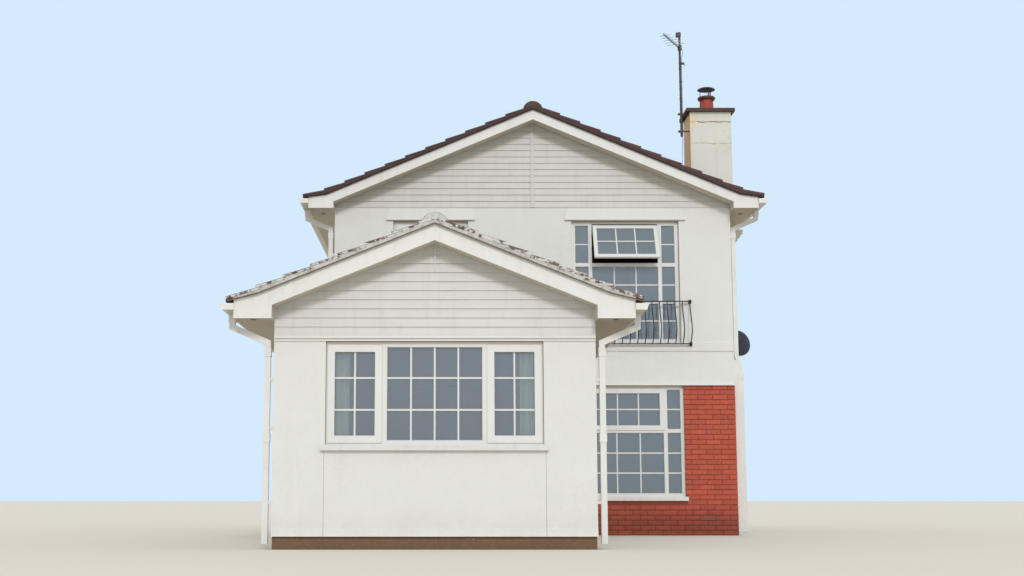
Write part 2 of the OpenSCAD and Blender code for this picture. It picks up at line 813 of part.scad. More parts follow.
module front_gable() {
    color("#d9d8cf")
        gable(main_roof_form, eaves_z, render_y, -1, gable_t, strip_w, eaves_z, main_barge_h);
}

module rear_gable() {
    color("#d9d8cf")
        gable(main_roof_form, eaves_z, half_d, 1, gable_t, strip_w, eaves_z, main_barge_h);
}

module main_roof_left() {
    color("#4f3b38")
        mirror([1, 0, 0])
            roof_slope(main_roof_form, main_verge_front, main_verge_rear);
}

// Right slope, with the hole for the chimney stack
module main_roof_right() {
    color("#4f3b38")
        difference() {
            roof_slope(main_roof_form, main_verge_front, main_verge_rear);
            block([stack_left_x, stack_front_y, eaves_z],
                  [half_w + breast_out, stack_front_y + stack_d, stack_top_z]);
        }
}

module main_ridge() {
    color("#4a3633")
        ridge(main_roof_form, main_verge_front, main_verge_rear);
}

module main_bargeboards() {
    color("#ecece8") {
        barge_pair(main_roof_form, box_z, main_barge_h, main_verge_out, render_y - lap_out, -1);
        barge_pair(main_roof_form, box_z, main_barge_h, main_verge_out, half_d + lap_out, 1);
    }
}

// Boxed eaves on both sides, notched round the chimney breast on the right
module main_eaves() {
    y0 = main_verge_front + verge_over + board_t;
    y1 = main_verge_rear - verge_over - board_t;
    color("#e6e5dd") {
        difference() {
            eaves_box(main_roof_form, box_z, y0, y1, render_y, half_d);
            block([half_w - 1, stack_front_y, box_z - 1],
                  [half_w + breast_out, stack_front_y + stack_d, plate_z]);
        }
        mirror([1, 0, 0])
            eaves_box(main_roof_form, box_z, y0, y1, render_y, half_d);
    }
}

module gutters() {
    color("#efefec") {
        for (side = [0, 1])
            mirror([side, 0, 0])
                gutter(main_roof_form, main_verge_front, main_verge_rear);
        translate([-ext_x, 0, 0])
            for (side = [0, 1])
                mirror([side, 0, 0])
                    gutter(ext_roof_form, ext_verge_y, front_y);
    }
}

module downpipes() {
    color("#efefec") {
        downpipe(main_roof_form, front_y + main_pipe_set, pipe_foot_z, pipe_step_out, pipe_step_z);
        mirror([1, 0, 0])
            downpipe(main_roof_form, front_y + main_pipe_set, pipe_foot_z, 0, 0);
        translate([-ext_x, 0, 0])
            for (side = [0, 1])
                mirror([side, 0, 0])
                    downpipe(ext_roof_form, ext_front_y + pipe_set, pipe_foot_z, 0, 0);
    }
}

// Breast against the right wall with its shoulder and corbels, and the stack over it
module chimney_stack() {
    face_x = half_w + breast_out;
    course = corbel_h / 3;
    step = corbel_out / 3;
    color("#d6d2c4")
        along_y(stack_front_y, stack_front_y + stack_d)
            polygon([
                [half_w, 0], [face_x + shoulder_out, 0], [face_x + shoulder_out, shoulder_z],
                [face_x, shoulder_z + shoulder_rise],
                [face_x, box_z - corbel_h], [face_x + step, box_z - corbel_h],
                [face_x + step, box_z - corbel_h + course], [face_x + 2 * step, box_z - corbel_h + course],
                [face_x + 2 * step, box_z - course], [face_x + corbel_out, box_z - course],
                [face_x + corbel_out, box_z], [face_x, box_z], [face_x, stack_top_z],
                [stack_left_x, stack_top_z], [stack_left_x, eaves_z], [half_w, eaves_z]
            ]);
}

module chimney_cap() {
    color("#6d4a3c")
        block([stack_left_x - cap_out, stack_front_y - cap_out, stack_top_z],
              [stack_left_x + stack_w + cap_out, stack_front_y + stack_d + cap_out, stack_top_z + cap_t]);
}

pot_x = stack_left_x + stack_w / 2;
pot_y = stack_front_y + stack_d / 2;
pot_z = stack_top_z + cap_t;

// Clay pot, turned round its flue
module chimney_pot() {
    foot_r = pot_d / 2;
    neck_r = foot_r - 6;
    rim_r = rim_d / 2;
    bore_r = neck_r - pot_wall;
    color("#b4503c")
        translate([pot_x, pot_y, pot_z])
            rotate_extrude()
                polygon([
                    [bore_r, 0], [foot_r, 0], [neck_r, pot_h - rim_h], [rim_r - 12, pot_h - rim_h],
                    [rim_r, pot_h - rim_h * 0.7], [rim_r, pot_h - rim_h * 0.3], [rim_r - 14, pot_h],
                    [bore_r, pot_h]
                ]);
}

// Domed hood on straps over the pot
module chimney_cowl() {
    strap_r = pot_d / 2 - pot_wall / 2;
    color("#3a3236")
        translate([pot_x, pot_y, pot_z + pot_h]) {
            translate([0, 0, cowl_gap])
                rotate_extrude()
                    polygon([
                        [0, 0], [rim_d / 2, 0], [rim_d / 2, cowl_h * 0.2], [rim_d * 0.38, cowl_h * 0.65],
                        [rim_d * 0.2, cowl_h * 0.92], [0, cowl_h]
                    ]);
            for (i = [0 : strap_count - 1])
                rotate([0, 0, strap_turn + i * 360 / strap_count])
                    translate([strap_r - cowl_strap_t / 2, -cowl_strap_w / 2, 0])
                        cube([cowl_strap_t, cowl_strap_w, cowl_gap + cowl_strap_t / 2]);
        }
}

// Mast with two brackets on the stack's left side, and the boom with its elements
module television_aerial() {
    mast_x = stack_left_x - mast_off;
    y = stack_front_y + mast_y;
    top_z = mast_foot_z + mast_len;
    color("#54453f") {
        translate([mast_x, y, mast_foot_z])
            cylinder(d = mast_d, h = mast_len);
        for (z = [mast_foot_z + bracket_low, mast_foot_z + bracket_high])
            block([mast_x, y - bracket_w / 2, z], [stack_left_x, y + bracket_w / 2, z + bracket_t]);
        block([mast_x - clamp_reach, y - clamp_w / 2, top_z - clamp_drop - clamp_h],
              [mast_x, y + clamp_w / 2, top_z - clamp_drop]);
        translate([mast_x, y, top_z - boom_drop])
            rotate([0, 0, -boom_turn]) {
                block([-boom_t / 2, -boom_len, -boom_t / 2], [boom_t / 2, boom_tail, boom_t / 2]);
                for (i = [0 : element_count - 1]) {
                    span = element_len * (1 - element_taper * i / (element_count - 1));
                    at = element_first + i * element_gap;
                    block([-span / 2, -at - element_t / 2, -element_t / 2],
                          [span / 2, -at + element_t / 2, element_t / 2]);
                }
            }
    }
}

// Shallow dish on an arm from the right wall, turned to the back of the house
module satellite_dish() {
    r = dish_d / 2;
    depth = dish_d * dish_bowl;
    arm_y = front_y + dish_y - hub_d / 2;
    bowl_r = (r * r + depth * depth) / (2 * depth);
    steps = 8;
    function bowl(radius, lift) = [for (i = [0 : steps]) let (x = r * i / steps)
        [x, lift + bowl_r - sqrt(radius * radius - x * x)]];
    color("#4a4f55") {
        translate([half_w + dish_off, front_y + dish_y, dish_z])
            rotate([0, 0, dish_turn])
                rotate([dish_tilt, 0, 0]) {
                    rotate_extrude()
                        polygon(concat(bowl(bowl_r, 0), [[r, depth + dish_t]],
                            [for (i = [steps - 1 : -1 : 0]) bowl(bowl_r, dish_t)[i]]));
                    translate([0, 0, -hub_len])
                        cylinder(d = hub_d, h = hub_len + 1);
                }
        block([half_w, arm_y - dish_arm / 2, dish_z - dish_arm],
              [half_w + dish_off - hub_len / 3, arm_y + dish_arm / 2, dish_z]);
    }
}

// Brown plinth round the three open sides of the extension
module extension_plinth() {
    x0 = -ext_x - ext_half_w + plinth_in;
    x1 = -ext_x + ext_half_w - plinth_in;
    color("#6f5446")
        difference() {
            block([x0, ext_front_y + plinth_in, 0], [x1, front_y, plinth_h]);
            block([-ext_x - ext_half_w + ext_wall_t, ext_front_y + ext_wall_t, -1],
                  [-ext_x + ext_half_w - ext_wall_t, front_y + 1, plinth_h + 1]);
        }
}

// Rendered front wall of the extension, flared at its foot
module extension_front_wall() {
    back = ext_front_y + ext_wall_t;
    color("#e4e4df")
        difference() {
            along_x(-ext_x - ext_half_w, -ext_x + ext_half_w)
                polygon([
                    [back, plinth_h], [ext_front_y - ext_bellcast_out, plinth_h],
                    [ext_front_y - ext_bellcast_out * 0.35, plinth_h + ext_bellcast_h * 0.4],
                    [ext_front_y, plinth_h + ext_bellcast_h], [ext_front_y, ext_head_z], [back, ext_head_z]
                ]);
            block([ext_win_x0, ext_front_y - 100, ext_sill_z],
                  [ext_win_x0 + ext_win_w, back + 1, ext_win_head_z]);
        }
}

// Right side wall of the extension, up to the slope of its roof
module extension_side_wall() {
    r = ext_roof_form;
    along_y(ext_front_y + ext_wall_t, front_y)
        polygon([
            [r[0] - ext_wall_t, plinth_h], [r[0], plinth_h], [r[0], plane_z(r, r[0])],
            [r[0] - ext_wall_t, plane_z(r, r[0] - ext_wall_t)]
        ]);
}

module extension_left_wall() {
    color("#e0dfd8")
        translate([-ext_x, 0, 0])
            mirror([1, 0, 0])
                extension_side_wall();
}

module extension_right_wall() {
    color("#e0dfd8")
        translate([-ext_x, 0, 0])
            extension_side_wall();
}

module extension_gable() {
    color("#d9d8cf")
        translate([-ext_x, 0, 0])
            gable(ext_roof_form, ext_head_z, ext_front_y, -1, gable_t, ext_strip_w,
                plane_z(ext_roof_form, 0) - ext_barge_h - ext_strip_len, ext_barge_h);
}

module extension_roof_left() {
    color("#5a4440")
        translate([-ext_x, 0, 0])
            mirror([1, 0, 0])
                roof_slope(ext_roof_form, ext_verge_y, front_y);
}

module extension_roof_right() {
    color("#5a4440")
        translate([-ext_x, 0, 0])
            roof_slope(ext_roof_form, ext_verge_y, front_y);
}

module extension_ridge() {
    color("#4a3633")
        translate([-ext_x, 0, 0])
            ridge(ext_roof_form, ext_verge_y, render_y);
}

module extension_bargeboards() {
    color("#ecece8")
        translate([-ext_x, 0, 0])
            barge_pair(ext_roof_form, ext_box_z, ext_barge_h, ext_verge_out, ext_front_y - lap_out, -1);
}

module extension_eaves() {
    y0 = ext_verge_y + verge_over + board_t;
    color("#e6e5dd")
        translate([-ext_x, 0, 0])
            for (side = [0, 1])
                mirror([side, 0, 0])
                    eaves_box(ext_roof_form, ext_box_z, y0, front_y, ext_front_y, front_y);
}

module extension_window_frame() {
    color("#f2f2f0")
        place(ext_win_x0, ext_frame_y, ext_sill_z)
            window_frame(ext_win_w, ext_win_h, ext_posts, []);
}

module lower_window_frame() {
    color("#f2f2f0")
        place(lower_x0, frame_y, lower_sill_z)
            window_frame(lower_w, lower_h, lower_posts, lower_rails);
}

// Frames of the two upper front windows
module upper_window_frames() {
    color("#f2f2f0") {
        place(upper_x0, frame_y, upper_sill_z)
            window_frame(upper_w, upper_h, upper_posts, upper_rails);
        place(small_x0, frame_y, small_sill_z)
            window_frame(small_w, small_h, [small_w / 2], []);
    }
}

// Top-hung vent standing open over the transom, turned about its head, with a stay at each
// side that holds it off its frame
module upper_window_vent() {
    w = upper_posts[1] - upper_posts[0] - bar_face - 2 * vent_play;
    depth = frame_d * 0.6;
    stay_end = [-depth / 2 * cos(vent_angle) - stay_down * sin(vent_angle),
                depth / 2 * sin(vent_angle) - stay_down * cos(vent_angle)];
    color("#f2f2f0")
        place(upper_x0 + upper_posts[0] + bar_face / 2 + vent_play, frame_y,
              upper_head_z - frame_face - vent_slide) {
            rotate([-vent_angle, 0, 0])
                difference() {
                    translate([0, -depth, -vent_h])
                        cube([w, depth, vent_h]);
                    translate([sash_face, -depth - 1, -vent_h + sash_face])
                        cube([w - 2 * sash_face, depth / 2 - glass_t / 4 + 1, vent_h - 2 * sash_face]);
                    translate([sash_face, -depth / 2 + glass_t / 4, -vent_h + sash_face])
                        cube([w - 2 * sash_face, depth, vent_h - 2 * sash_face]);
                }
            for (x = [-vent_play, w])
                along_x(x, x + vent_play)
                    polygon([
                        [frame_d / 3, 0], [frame_d / 3, -stay_w], stay_end - [0, stay_w / 2],
                        stay_end + [0, stay_w / 2]
                    ]);
        }
}

module extension_glass() {
    color("#8fa3ad", 0.6)
        place(ext_win_x0, ext_frame_y, ext_sill_z)
            window_glass(ext_win_w, ext_win_h, ext_posts, [], []);
}

// Glass of the front windows of the main block; the open vent's light stays empty
module main_front_glass() {
    color("#8fa3ad", 0.6) {
        place(lower_x0, frame_y, lower_sill_z)
            window_glass(lower_w, lower_h, lower_posts, lower_rails, []);
        place(upper_x0, frame_y, upper_sill_z)
            window_glass(upper_w, upper_h, upper_posts, upper_rails, [[1, 1]]);
        place(small_x0, frame_y, small_sill_z)
            window_glass(small_w, small_h, [small_w / 2], [], []);
    }
}

// Puts a rear window's frame or glass in place, facing the back
module at_rear(side, z) {
    translate([side * rear_win_x + rear_win_w / 2, half_d - reveal, z])
        rotate([0, 0, 180])
            children();
}

module rear_windows() {
    color("#f2f2f0")
        for (side = [-1, 1]) {
            at_rear(side, rear_low_z)
                window_frame(rear_win_w, rear_low_head_z - rear_low_z, rear_post, []);
            at_rear(side, rear_high_z)
                window_frame(rear_win_w, upper_head_z - rear_high_z, rear_post, []);
        }
}

module rear_glass() {
    color("#8fa3ad", 0.6)
        for (side = [-1, 1]) {
            at_rear(side, rear_low_z)
                window_glass(rear_win_w, rear_low_head_z - rear_low_z, rear_post, [], []);
            at_rear(side, rear_high_z)
                window_glass(rear_win_w, upper_head_z - rear_high_z, rear_post, [], []);
        }
}

// Sill in front of a frame whose face is at frame_face_y, in a wall with its face at wall_y; its
// bed runs into the opening up to the frame
module sill(x0, w, z, frame_face_y, wall_y, out, side) {
    block([x0 - side, wall_y - out, z - sill_h], [x0 + w + side, wall_y, z + sill_bed]);
    block([x0, wall_y - out, z], [x0 + w, frame_face_y, z + sill_bed]);
}

module window_sills() {
    color("#e8e6dd") {
        sill(ext_win_x0, ext_win_w, ext_sill_z, ext_frame_y, ext_front_y, sill_out, sill_side);
        sill(lower_x0, lower_w, lower_sill_z, frame_y, front_y, sill_out / 2, sill_side / 2);
        for (side = [-1, 1])
            for (z = [rear_low_z, rear_high_z])
                mirror([0, 1, 0])
                    sill(side * rear_win_x - rear_win_w / 2, rear_win_w, z, -half_d + reveal, -half_d,
                        sill_out, sill_side);
    }
}

// Flared render hood over an upper window
module hood(x0, w) {
    foot = upper_head_z + hood_up;
    intersection() {
        along_x(x0 - hood_side, x0 + w + hood_side)
            polygon([[render_y, foot], [render_y - hood_out, foot], [render_y, eaves_z]]);
        along_y(render_y - hood_out - 1, render_y + 1)
            polygon([
                [x0 - hood_side, foot], [x0 + w + hood_side, foot],
                [x0 + w + hood_side - hood_splay, eaves_z], [x0 - hood_side + hood_splay, eaves_z]
            ]);
    }
}

// Render hoods over the upper windows, and the moulding under the extension's gable
module window_head_mouldings() {
    color("#e9e9e4") {
        hood(upper_x0, upper_w);
        hood(small_x0, small_w);
        along_x(-ext_x - ext_half_w, -ext_x + ext_half_w)
            translate([ext_front_y, ext_head_z - lintel_h])
                polygon([
                    [0, 0], [-lintel_out * 0.5, 0], [-lintel_out * 0.5, lintel_h * 0.35],
                    [-lintel_out, lintel_h * 0.5], [-lintel_out, lintel_h], [0, lintel_h]
                ]);
    }
}

// Forward reach and height of a bar's middle line, at a share s of the way up
function belly(s) = [-belly_out * pow(sin(180 * pow(s, belly_power)), 2), s * rail_h];

// Railing with bellied bars, fixed to the wall by a lug at each corner
module balcony_railing() {
    bars = floor(rail_len / bar_pitch) + 1;
    x0 = tall_x - rail_shift - rail_len / 2;
    gap = rail_len / (bars - 1);
    y = render_y - rail_off;
    steps = 12;
    color("#2a2a2c") {
        for (z = [rail_low_z, rail_low_z + rail_h])
            block([x0 - rail_bar, y - rail_bar, z - rail_bar / 2],
                  [x0 + rail_len + rail_bar, y + rail_bar, z + rail_bar / 2]);
        for (i = [0 : bars - 1])
            along_x(x0 + i * gap - rail_bar / 2, x0 + i * gap + rail_bar / 2)
                translate([y, rail_low_z])
                    polygon(concat(
                        [for (k = [0 : steps]) belly(k / steps) - [rail_bar / 2, 0]],
                        [for (k = [steps : -1 : 0]) belly(k / steps) + [rail_bar / 2, 0]]
                    ));
        for (x = [x0, x0 + rail_len]) {
            block([x - rail_bar, y, rail_low_z - rail_bar],
                  [x + rail_bar, render_y - band_out, rail_low_z + rail_bar]);
            block([x - rail_bar, y, rail_low_z + rail_h - rail_bar],
                  [x + rail_bar, render_y, rail_low_z + rail_h + rail_bar]);
        }
    }
}

// Plain closed door with its frame in the left wall
module entrance_door() {
    y0 = front_y + door_y;
    x_out = -half_w + reveal;
    color("#e8e8e4") {
        difference() {
            block([x_out, y0, floor_z], [x_out + frame_d, y0 + door_w, floor_z + door_h]);
            block([x_out - 1, y0 + frame_face, floor_z - 1],
                  [x_out + frame_d + 1, y0 + door_w - frame_face, floor_z + door_h - frame_face]);
        }
        block([x_out + door_in, y0 + frame_face, floor_z],
              [x_out + door_in + door_t, y0 + door_w - frame_face, floor_z + door_h - frame_face]);
    }
}

main_floor_slab();
extension_floor_slab();
first_floor();
front_wall_lower();
front_wall_upper();
rear_wall();
left_wall();
right_wall();
front_gable();
rear_gable();
main_roof_left();
main_roof_right();
main_ridge();
main_bargeboards();
main_eaves();
gutters();
downpipes();
chimney_stack();
chimney_cap();
chimney_pot();
chimney_cowl();
television_aerial();
satellite_dish();
extension_plinth();
extension_front_wall();
extension_left_wall();
extension_right_wall();
extension_gable();
extension_roof_left();
extension_roof_right();
extension_ridge();
extension_bargeboards();
extension_eaves();
extension_window_frame();
lower_window_frame();
upper_window_frames();
upper_window_vent();
extension_glass();
main_front_glass();
rear_windows();
rear_glass();
window_sills();
window_head_mouldings();
balcony_railing();
entrance_door();
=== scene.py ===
"""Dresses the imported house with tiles, bricks, glazing, rainwater fittings and finishes."""

import logging
import math
import random
from collections.abc import Iterable
from dataclasses import dataclass
from enum import Enum

import bmesh
import bpy
from mathutils import Matrix, Vector


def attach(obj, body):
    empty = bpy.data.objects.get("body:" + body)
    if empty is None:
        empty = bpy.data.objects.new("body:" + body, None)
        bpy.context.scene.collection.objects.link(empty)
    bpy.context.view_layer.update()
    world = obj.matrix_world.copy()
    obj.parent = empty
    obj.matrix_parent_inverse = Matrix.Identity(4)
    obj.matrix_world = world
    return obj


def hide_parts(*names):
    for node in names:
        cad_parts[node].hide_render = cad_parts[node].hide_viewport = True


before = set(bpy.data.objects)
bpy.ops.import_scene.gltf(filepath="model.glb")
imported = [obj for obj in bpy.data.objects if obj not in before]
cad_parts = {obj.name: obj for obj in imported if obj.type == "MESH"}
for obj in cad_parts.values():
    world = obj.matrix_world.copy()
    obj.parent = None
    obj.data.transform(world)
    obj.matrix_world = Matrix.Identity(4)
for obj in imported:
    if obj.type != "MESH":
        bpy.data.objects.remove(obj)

BODY = "root"
DRAW_SEED = 417
SHARP_EDGE = math.radians(38)
LOG = logging.getLogger("house")

Colour = tuple[float, float, float]
Place = tuple[float, float, float]
Point = tuple[float, float]
Four = tuple[float, float, float, float]
Socket, Tree, Material = bpy.types.NodeSocket, bpy.types.NodeTree, bpy.types.Material
Mesh, Piece = bpy.types.Mesh, bpy.types.Object

# Where the chimney stack passes through the roof: left, right, front and rear.
STACK: Four = (2.710, 3.392, -2.340, -1.690)
# How far an opening sash lies over its frame: left, right, foot and head.
SASH_LAPS: Four = 4 * (0.0175,)


class Slot(Enum):
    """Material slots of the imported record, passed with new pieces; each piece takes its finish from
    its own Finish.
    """

    BRICK = "painted_brick"
    MAIN_TILES = "main_tiles"
    EXTENSION_TILES = "extension_tiles"
    RIDGE = "ridge_tiles"
    RAINWATER = "rainwater_plastic"
    FRAME = "white_frame"
    GLASS = "window_glass"
    IRON = "black_iron"
    METAL = "weathered_metal"
    DARK_METAL = "dark_metal"
    DISH = "dish_metal"
    DOOR = "door_white"
    CAP = "cap_concrete"
    CONCRETE = "concrete"


class Side(Enum):
    """Which side of a ridge line or a wall a piece lies on."""

    LEFT = -1
    RIGHT = 1


class ShaderTree:
    """Adds and joins nodes in one shader tree or group."""

    def __init__(self, tree: Tree) -> None:
        """Keeps the tree that the nodes go into.

        Args:
            tree: a material's node tree or a node group.
        """
        self.tree = tree

    def feed(self, socket: Socket, value: object) -> None:
        """Links a socket or writes a plain value to an input.

        Args:
            socket: the input that takes the value.
            value: an output socket, a number or a colour of three numbers.
        """
        if isinstance(value, Socket):
            self.tree.links.new(value, socket)
        elif isinstance(value, tuple) and socket.type == "RGBA":
            socket.default_value = (*value[:3], 1.0)
        else:
            socket.default_value = value

    def add(self, kind: str, feeds: dict | None = None, **settings: object) -> bpy.types.Node:
        """Adds one node.

        Args:
            kind: the node's type name.
            feeds: input name or number to its value or source.
            settings: the node's own properties.

        Returns:
            The new node.
        """
        node = self.tree.nodes.new(kind)
        for name, value in settings.items():
            setattr(node, name, value)
        for key, value in (feeds or {}).items():
            self.feed(node.inputs[key], value)
        return node

    def place(self) -> Socket:
        """Returns the object coordinates, which are the row frame's metres."""
        return self.add("ShaderNodeTexCoord").outputs["Object"]

    def axis(self, name: str) -> Socket:
        """Returns one coordinate, X, Y or Z, in metres."""
        return self.add("ShaderNodeSeparateXYZ", {0: self.place()}).outputs[name]

    def facing(self, name: str) -> Socket:
        """Returns the share, from -1 to 1, by which a face looks along X, Y or Z."""
        normal = self.add("ShaderNodeNewGeometry").outputs["Normal"]
        return self.add("ShaderNodeSeparateXYZ", {0: normal}).outputs[name]

    def stretched(self, scale: Place) -> Socket:
        """Returns object coordinates scaled apart along the three axes."""
        return self.add("ShaderNodeMapping", {"Vector": self.place(), "Scale": scale}).outputs[0]

    def noise(self, scale: object, detail: float = 3.0, place: object = None,
              rough: float = 0.55) -> Socket:
        """Adds a noise pattern.

        Args:
            scale: features for each metre, a number or a socket.
            detail: octaves.
            place: coordinates; object coordinates where left out.
            rough: strength of the finer octaves.

        Returns:
            The pattern's value, from 0 to 1.
        """
        feeds = {"Vector": place or self.place(), "Scale": scale, "Detail": detail, "Roughness": rough}
        return self.add("ShaderNodeTexNoise", feeds).outputs["Fac"]

    def cells(self, scale: object, place: object = None) -> Socket:
        """Returns the distance to the nearest point of a cell pattern."""
        feeds = {"Vector": place or self.place(), "Scale": scale}
        return self.add("ShaderNodeTexVoronoi", feeds).outputs["Distance"]

    def math(self, operation: str, first: object, second: object = 0.0) -> Socket:
        """Returns the result of one arithmetic operation."""
        return self.add("ShaderNodeMath", {0: first, 1: second}, operation=operation).outputs[0]

    def times(self, first: object, second: object) -> Socket:
        """Returns the product of two values."""
        return self.math("MULTIPLY", first, second)

    def plus(self, first: object, second: object) -> Socket:
        """Returns the sum of two values."""
        return self.math("ADD", first, second)

    def minus(self, first: object, second: object) -> Socket:
        """Returns the first value less the second."""
        return self.math("SUBTRACT", first, second)

    def apart(self, first: object, second: object) -> Socket:
        """Returns how far two values lie apart."""
        return self.math("ABSOLUTE", self.minus(first, second))

    def below(self, first: object, second: object) -> Socket:
        """Returns 1 where the first value is the smaller one, and 0 elsewhere."""
        return self.math("LESS_THAN", first, second)

    def above(self, first: object, second: object) -> Socket:
        """Returns 1 where the first value is the larger one, and 0 elsewhere."""
        return self.math("GREATER_THAN", first, second)

    def band(self, value: object, low: float, high: float) -> Socket:
        """Maps a value to 0 at low and 1 at high, held inside that range."""
        feeds = {"Value": value, "From Min": low, "From Max": high}
        return self.add("ShaderNodeMapRange", feeds).outputs["Result"]

    def mix(self, share: object, first: object, second: object, blend: str = "MIX") -> Socket:
        """Returns a mix of two colours; share 0 gives the first one.

        Args:
            share: how much of the second colour shows.
            first: the first colour.
            second: the second colour.
            blend: the blend's type name.

        Returns:
            The mixed colour.
        """
        node = self.add("ShaderNodeMix", data_type="RGBA", blend_type=blend)
        for index, value in ((0, share), (6, first), (7, second)):
            self.feed(node.inputs[index], value)
        return node.outputs[2]

    def group(self, tree: Tree, feeds: dict) -> bpy.types.Node:
        """Places a shared effect with this material's own values.

        Args:
            tree: the shared group.
            feeds: input name to its value or source.

        Returns:
            The new node.
        """
        node = self.add("ShaderNodeGroup", node_tree=tree)
        for name, value in feeds.items():
            self.feed(node.inputs[name], value)
        return node


class SharedEffects:
    """Node groups that several finishes use, each built once."""

    def __init__(self) -> None:
        """Builds the four shared groups."""
        self.weathering = self._weathering()
        self.grain = self._grain()
        self.lichen = self._lichen()
        self.piece_tone = self._piece_tone()

    @staticmethod
    def _start(name: str, inputs: dict, outputs: dict) -> tuple:
        """Makes an empty group with its sockets.

        Args:
            name: the group's name.
            inputs: socket name to its default, a number or a colour.
            outputs: socket name to its socket type.

        Returns:
            The tree, its ShaderTree, its input node and its output node.
        """
        tree = bpy.data.node_groups.new(name, "ShaderNodeTree")
        for socket, value in inputs.items():
            kind = "NodeSocketColor" if isinstance(value, tuple) else "NodeSocketFloat"
            made = tree.interface.new_socket(name=socket, in_out="INPUT", socket_type=kind)
            made.default_value = (*value, 1.0) if isinstance(value, tuple) else value
        for socket, kind in outputs.items():
            tree.interface.new_socket(name=socket, in_out="OUTPUT", socket_type=kind)
        given, out = (tree.nodes.new(kind) for kind in ("NodeGroupInput", "NodeGroupOutput"))
        return tree, ShaderTree(tree), given, out

    def _weathering(self) -> Tree:
        """Builds blotches, rain streaks and ground splash over a base colour.

        Returns:
            The group.
        """
        defaults = {"Base": (0.5, 0.5, 0.5), "Stain": (0.3, 0.28, 0.24),
                    "Blotch": 0.3, "Streak": 0.2, "Splash": 0.0}
        tree, t, given, out = self._start("weathering", defaults, {"Color": "NodeSocketColor"})
        blotch = t.band(t.noise(1.3, 5.0), 0.48, 0.78)
        fine = t.band(t.noise(19.0, 4.0), 0.35, 0.75)
        streak = t.band(t.noise(1.0, 5.0, t.stretched((11.0, 11.0, 0.7)), 0.65), 0.52, 0.80)
        splash = t.times(t.band(t.axis("Z"), 0.45, 0.0), t.noise(6.0, 5.0))
        masks = [
            t.times(t.times(blotch, fine), given.outputs["Blotch"]),
            t.times(streak, given.outputs["Streak"]),
            t.times(splash, given.outputs["Splash"]),
        ]
        total = t.plus(t.plus(masks[0], masks[1]), masks[2])
        share = t.math("MINIMUM", total, 1.0)
        t.feed(out.inputs[0], t.mix(share, given.outputs["Base"], given.outputs["Stain"]))
        return tree

    def _grain(self) -> Tree:
        """Builds a fine grain with open pits, as a height and a pit mask.

        Returns:
            The group.
        """
        tree, t, given, out = self._start("surface_grain", {"Scale": 200.0, "Pits": 0.2},
                                          {"Height": "NodeSocketFloat", "Pit Mask": "NodeSocketFloat"})
        scale = given.outputs["Scale"]
        grains = t.noise(scale, 3.0)
        pits = t.band(t.cells(t.times(scale, 0.33)), 0.16, 0.04)
        sparse = t.times(pits, t.band(t.noise(t.times(scale, 0.09)), 0.5, 0.62))
        mask = t.times(sparse, given.outputs["Pits"])
        t.feed(out.inputs[0], t.minus(grains, mask))
        t.feed(out.inputs[1], mask)
        return tree

    def _lichen(self) -> Tree:
        """Builds a mask of round spots that gather in patches.

        Returns:
            The group.
        """
        tree, t, given, out = self._start("lichen_spots", {"Scale": 30.0, "Amount": 0.4},
                                          {"Mask": "NodeSocketFloat"})
        bent = t.add("ShaderNodeVectorMath", {0: t.place(), 1: t.add(
            "ShaderNodeTexNoise", {"Vector": t.place(), "Scale": 40.0}).outputs["Color"]},
            operation="ADD")
        spots = t.band(t.cells(given.outputs["Scale"], bent.outputs[0]), 0.34, 0.20)
        patches = t.band(t.noise(2.6, 4.0), 0.44, 0.60)
        mask = t.times(t.times(spots, patches), given.outputs["Amount"])
        t.feed(out.inputs[0], t.math("MINIMUM", mask, 1.0))
        return tree

    def _piece_tone(self) -> Tree:
        """Builds a shift of brightness for each tile or brick, read from its tone attribute.

        Returns:
            The group.
        """
        tree, t, given, out = self._start("piece_tone", {"Base": (0.5, 0.5, 0.5), "Spread": 0.3},
                                          {"Color": "NodeSocketColor"})
        tone = t.add("ShaderNodeAttribute", attribute_name="tone").outputs["Fac"]
        shift = t.times(t.minus(tone, 0.5), given.outputs["Spread"])
        value = t.plus(shift, 1.0)
        shaded = t.add("ShaderNodeHueSaturation", {"Value": value, "Color": given.outputs["Base"]})
        t.feed(out.inputs[0], shaded.outputs[0])
        return tree


EFFECTS = SharedEffects()


def start_material(name: str) -> tuple[Material, ShaderTree, bpy.types.Node]:
    """Makes a material and returns it with its tree and its shader.

    Args:
        name: the material's name.

    Returns:
        The material, its tree and its shader.
    """
    made = bpy.data.materials.new(name)
    made.use_nodes = True
    return made, ShaderTree(made.node_tree), made.node_tree.nodes["Principled BSDF"]


@dataclass
class Surface:
    """A material's colour and height while its finish is being built."""

    tree: ShaderTree
    colour: Socket
    height: Socket
    pit: Socket

    def paint(self, share: object, colour: object) -> None:
        """Lays a colour over the surface where the share is above 0."""
        self.colour = self.tree.mix(share, self.colour, colour)

    def lift(self, height: object) -> None:
        """Adds to the height."""
        self.height = self.tree.plus(self.height, height)


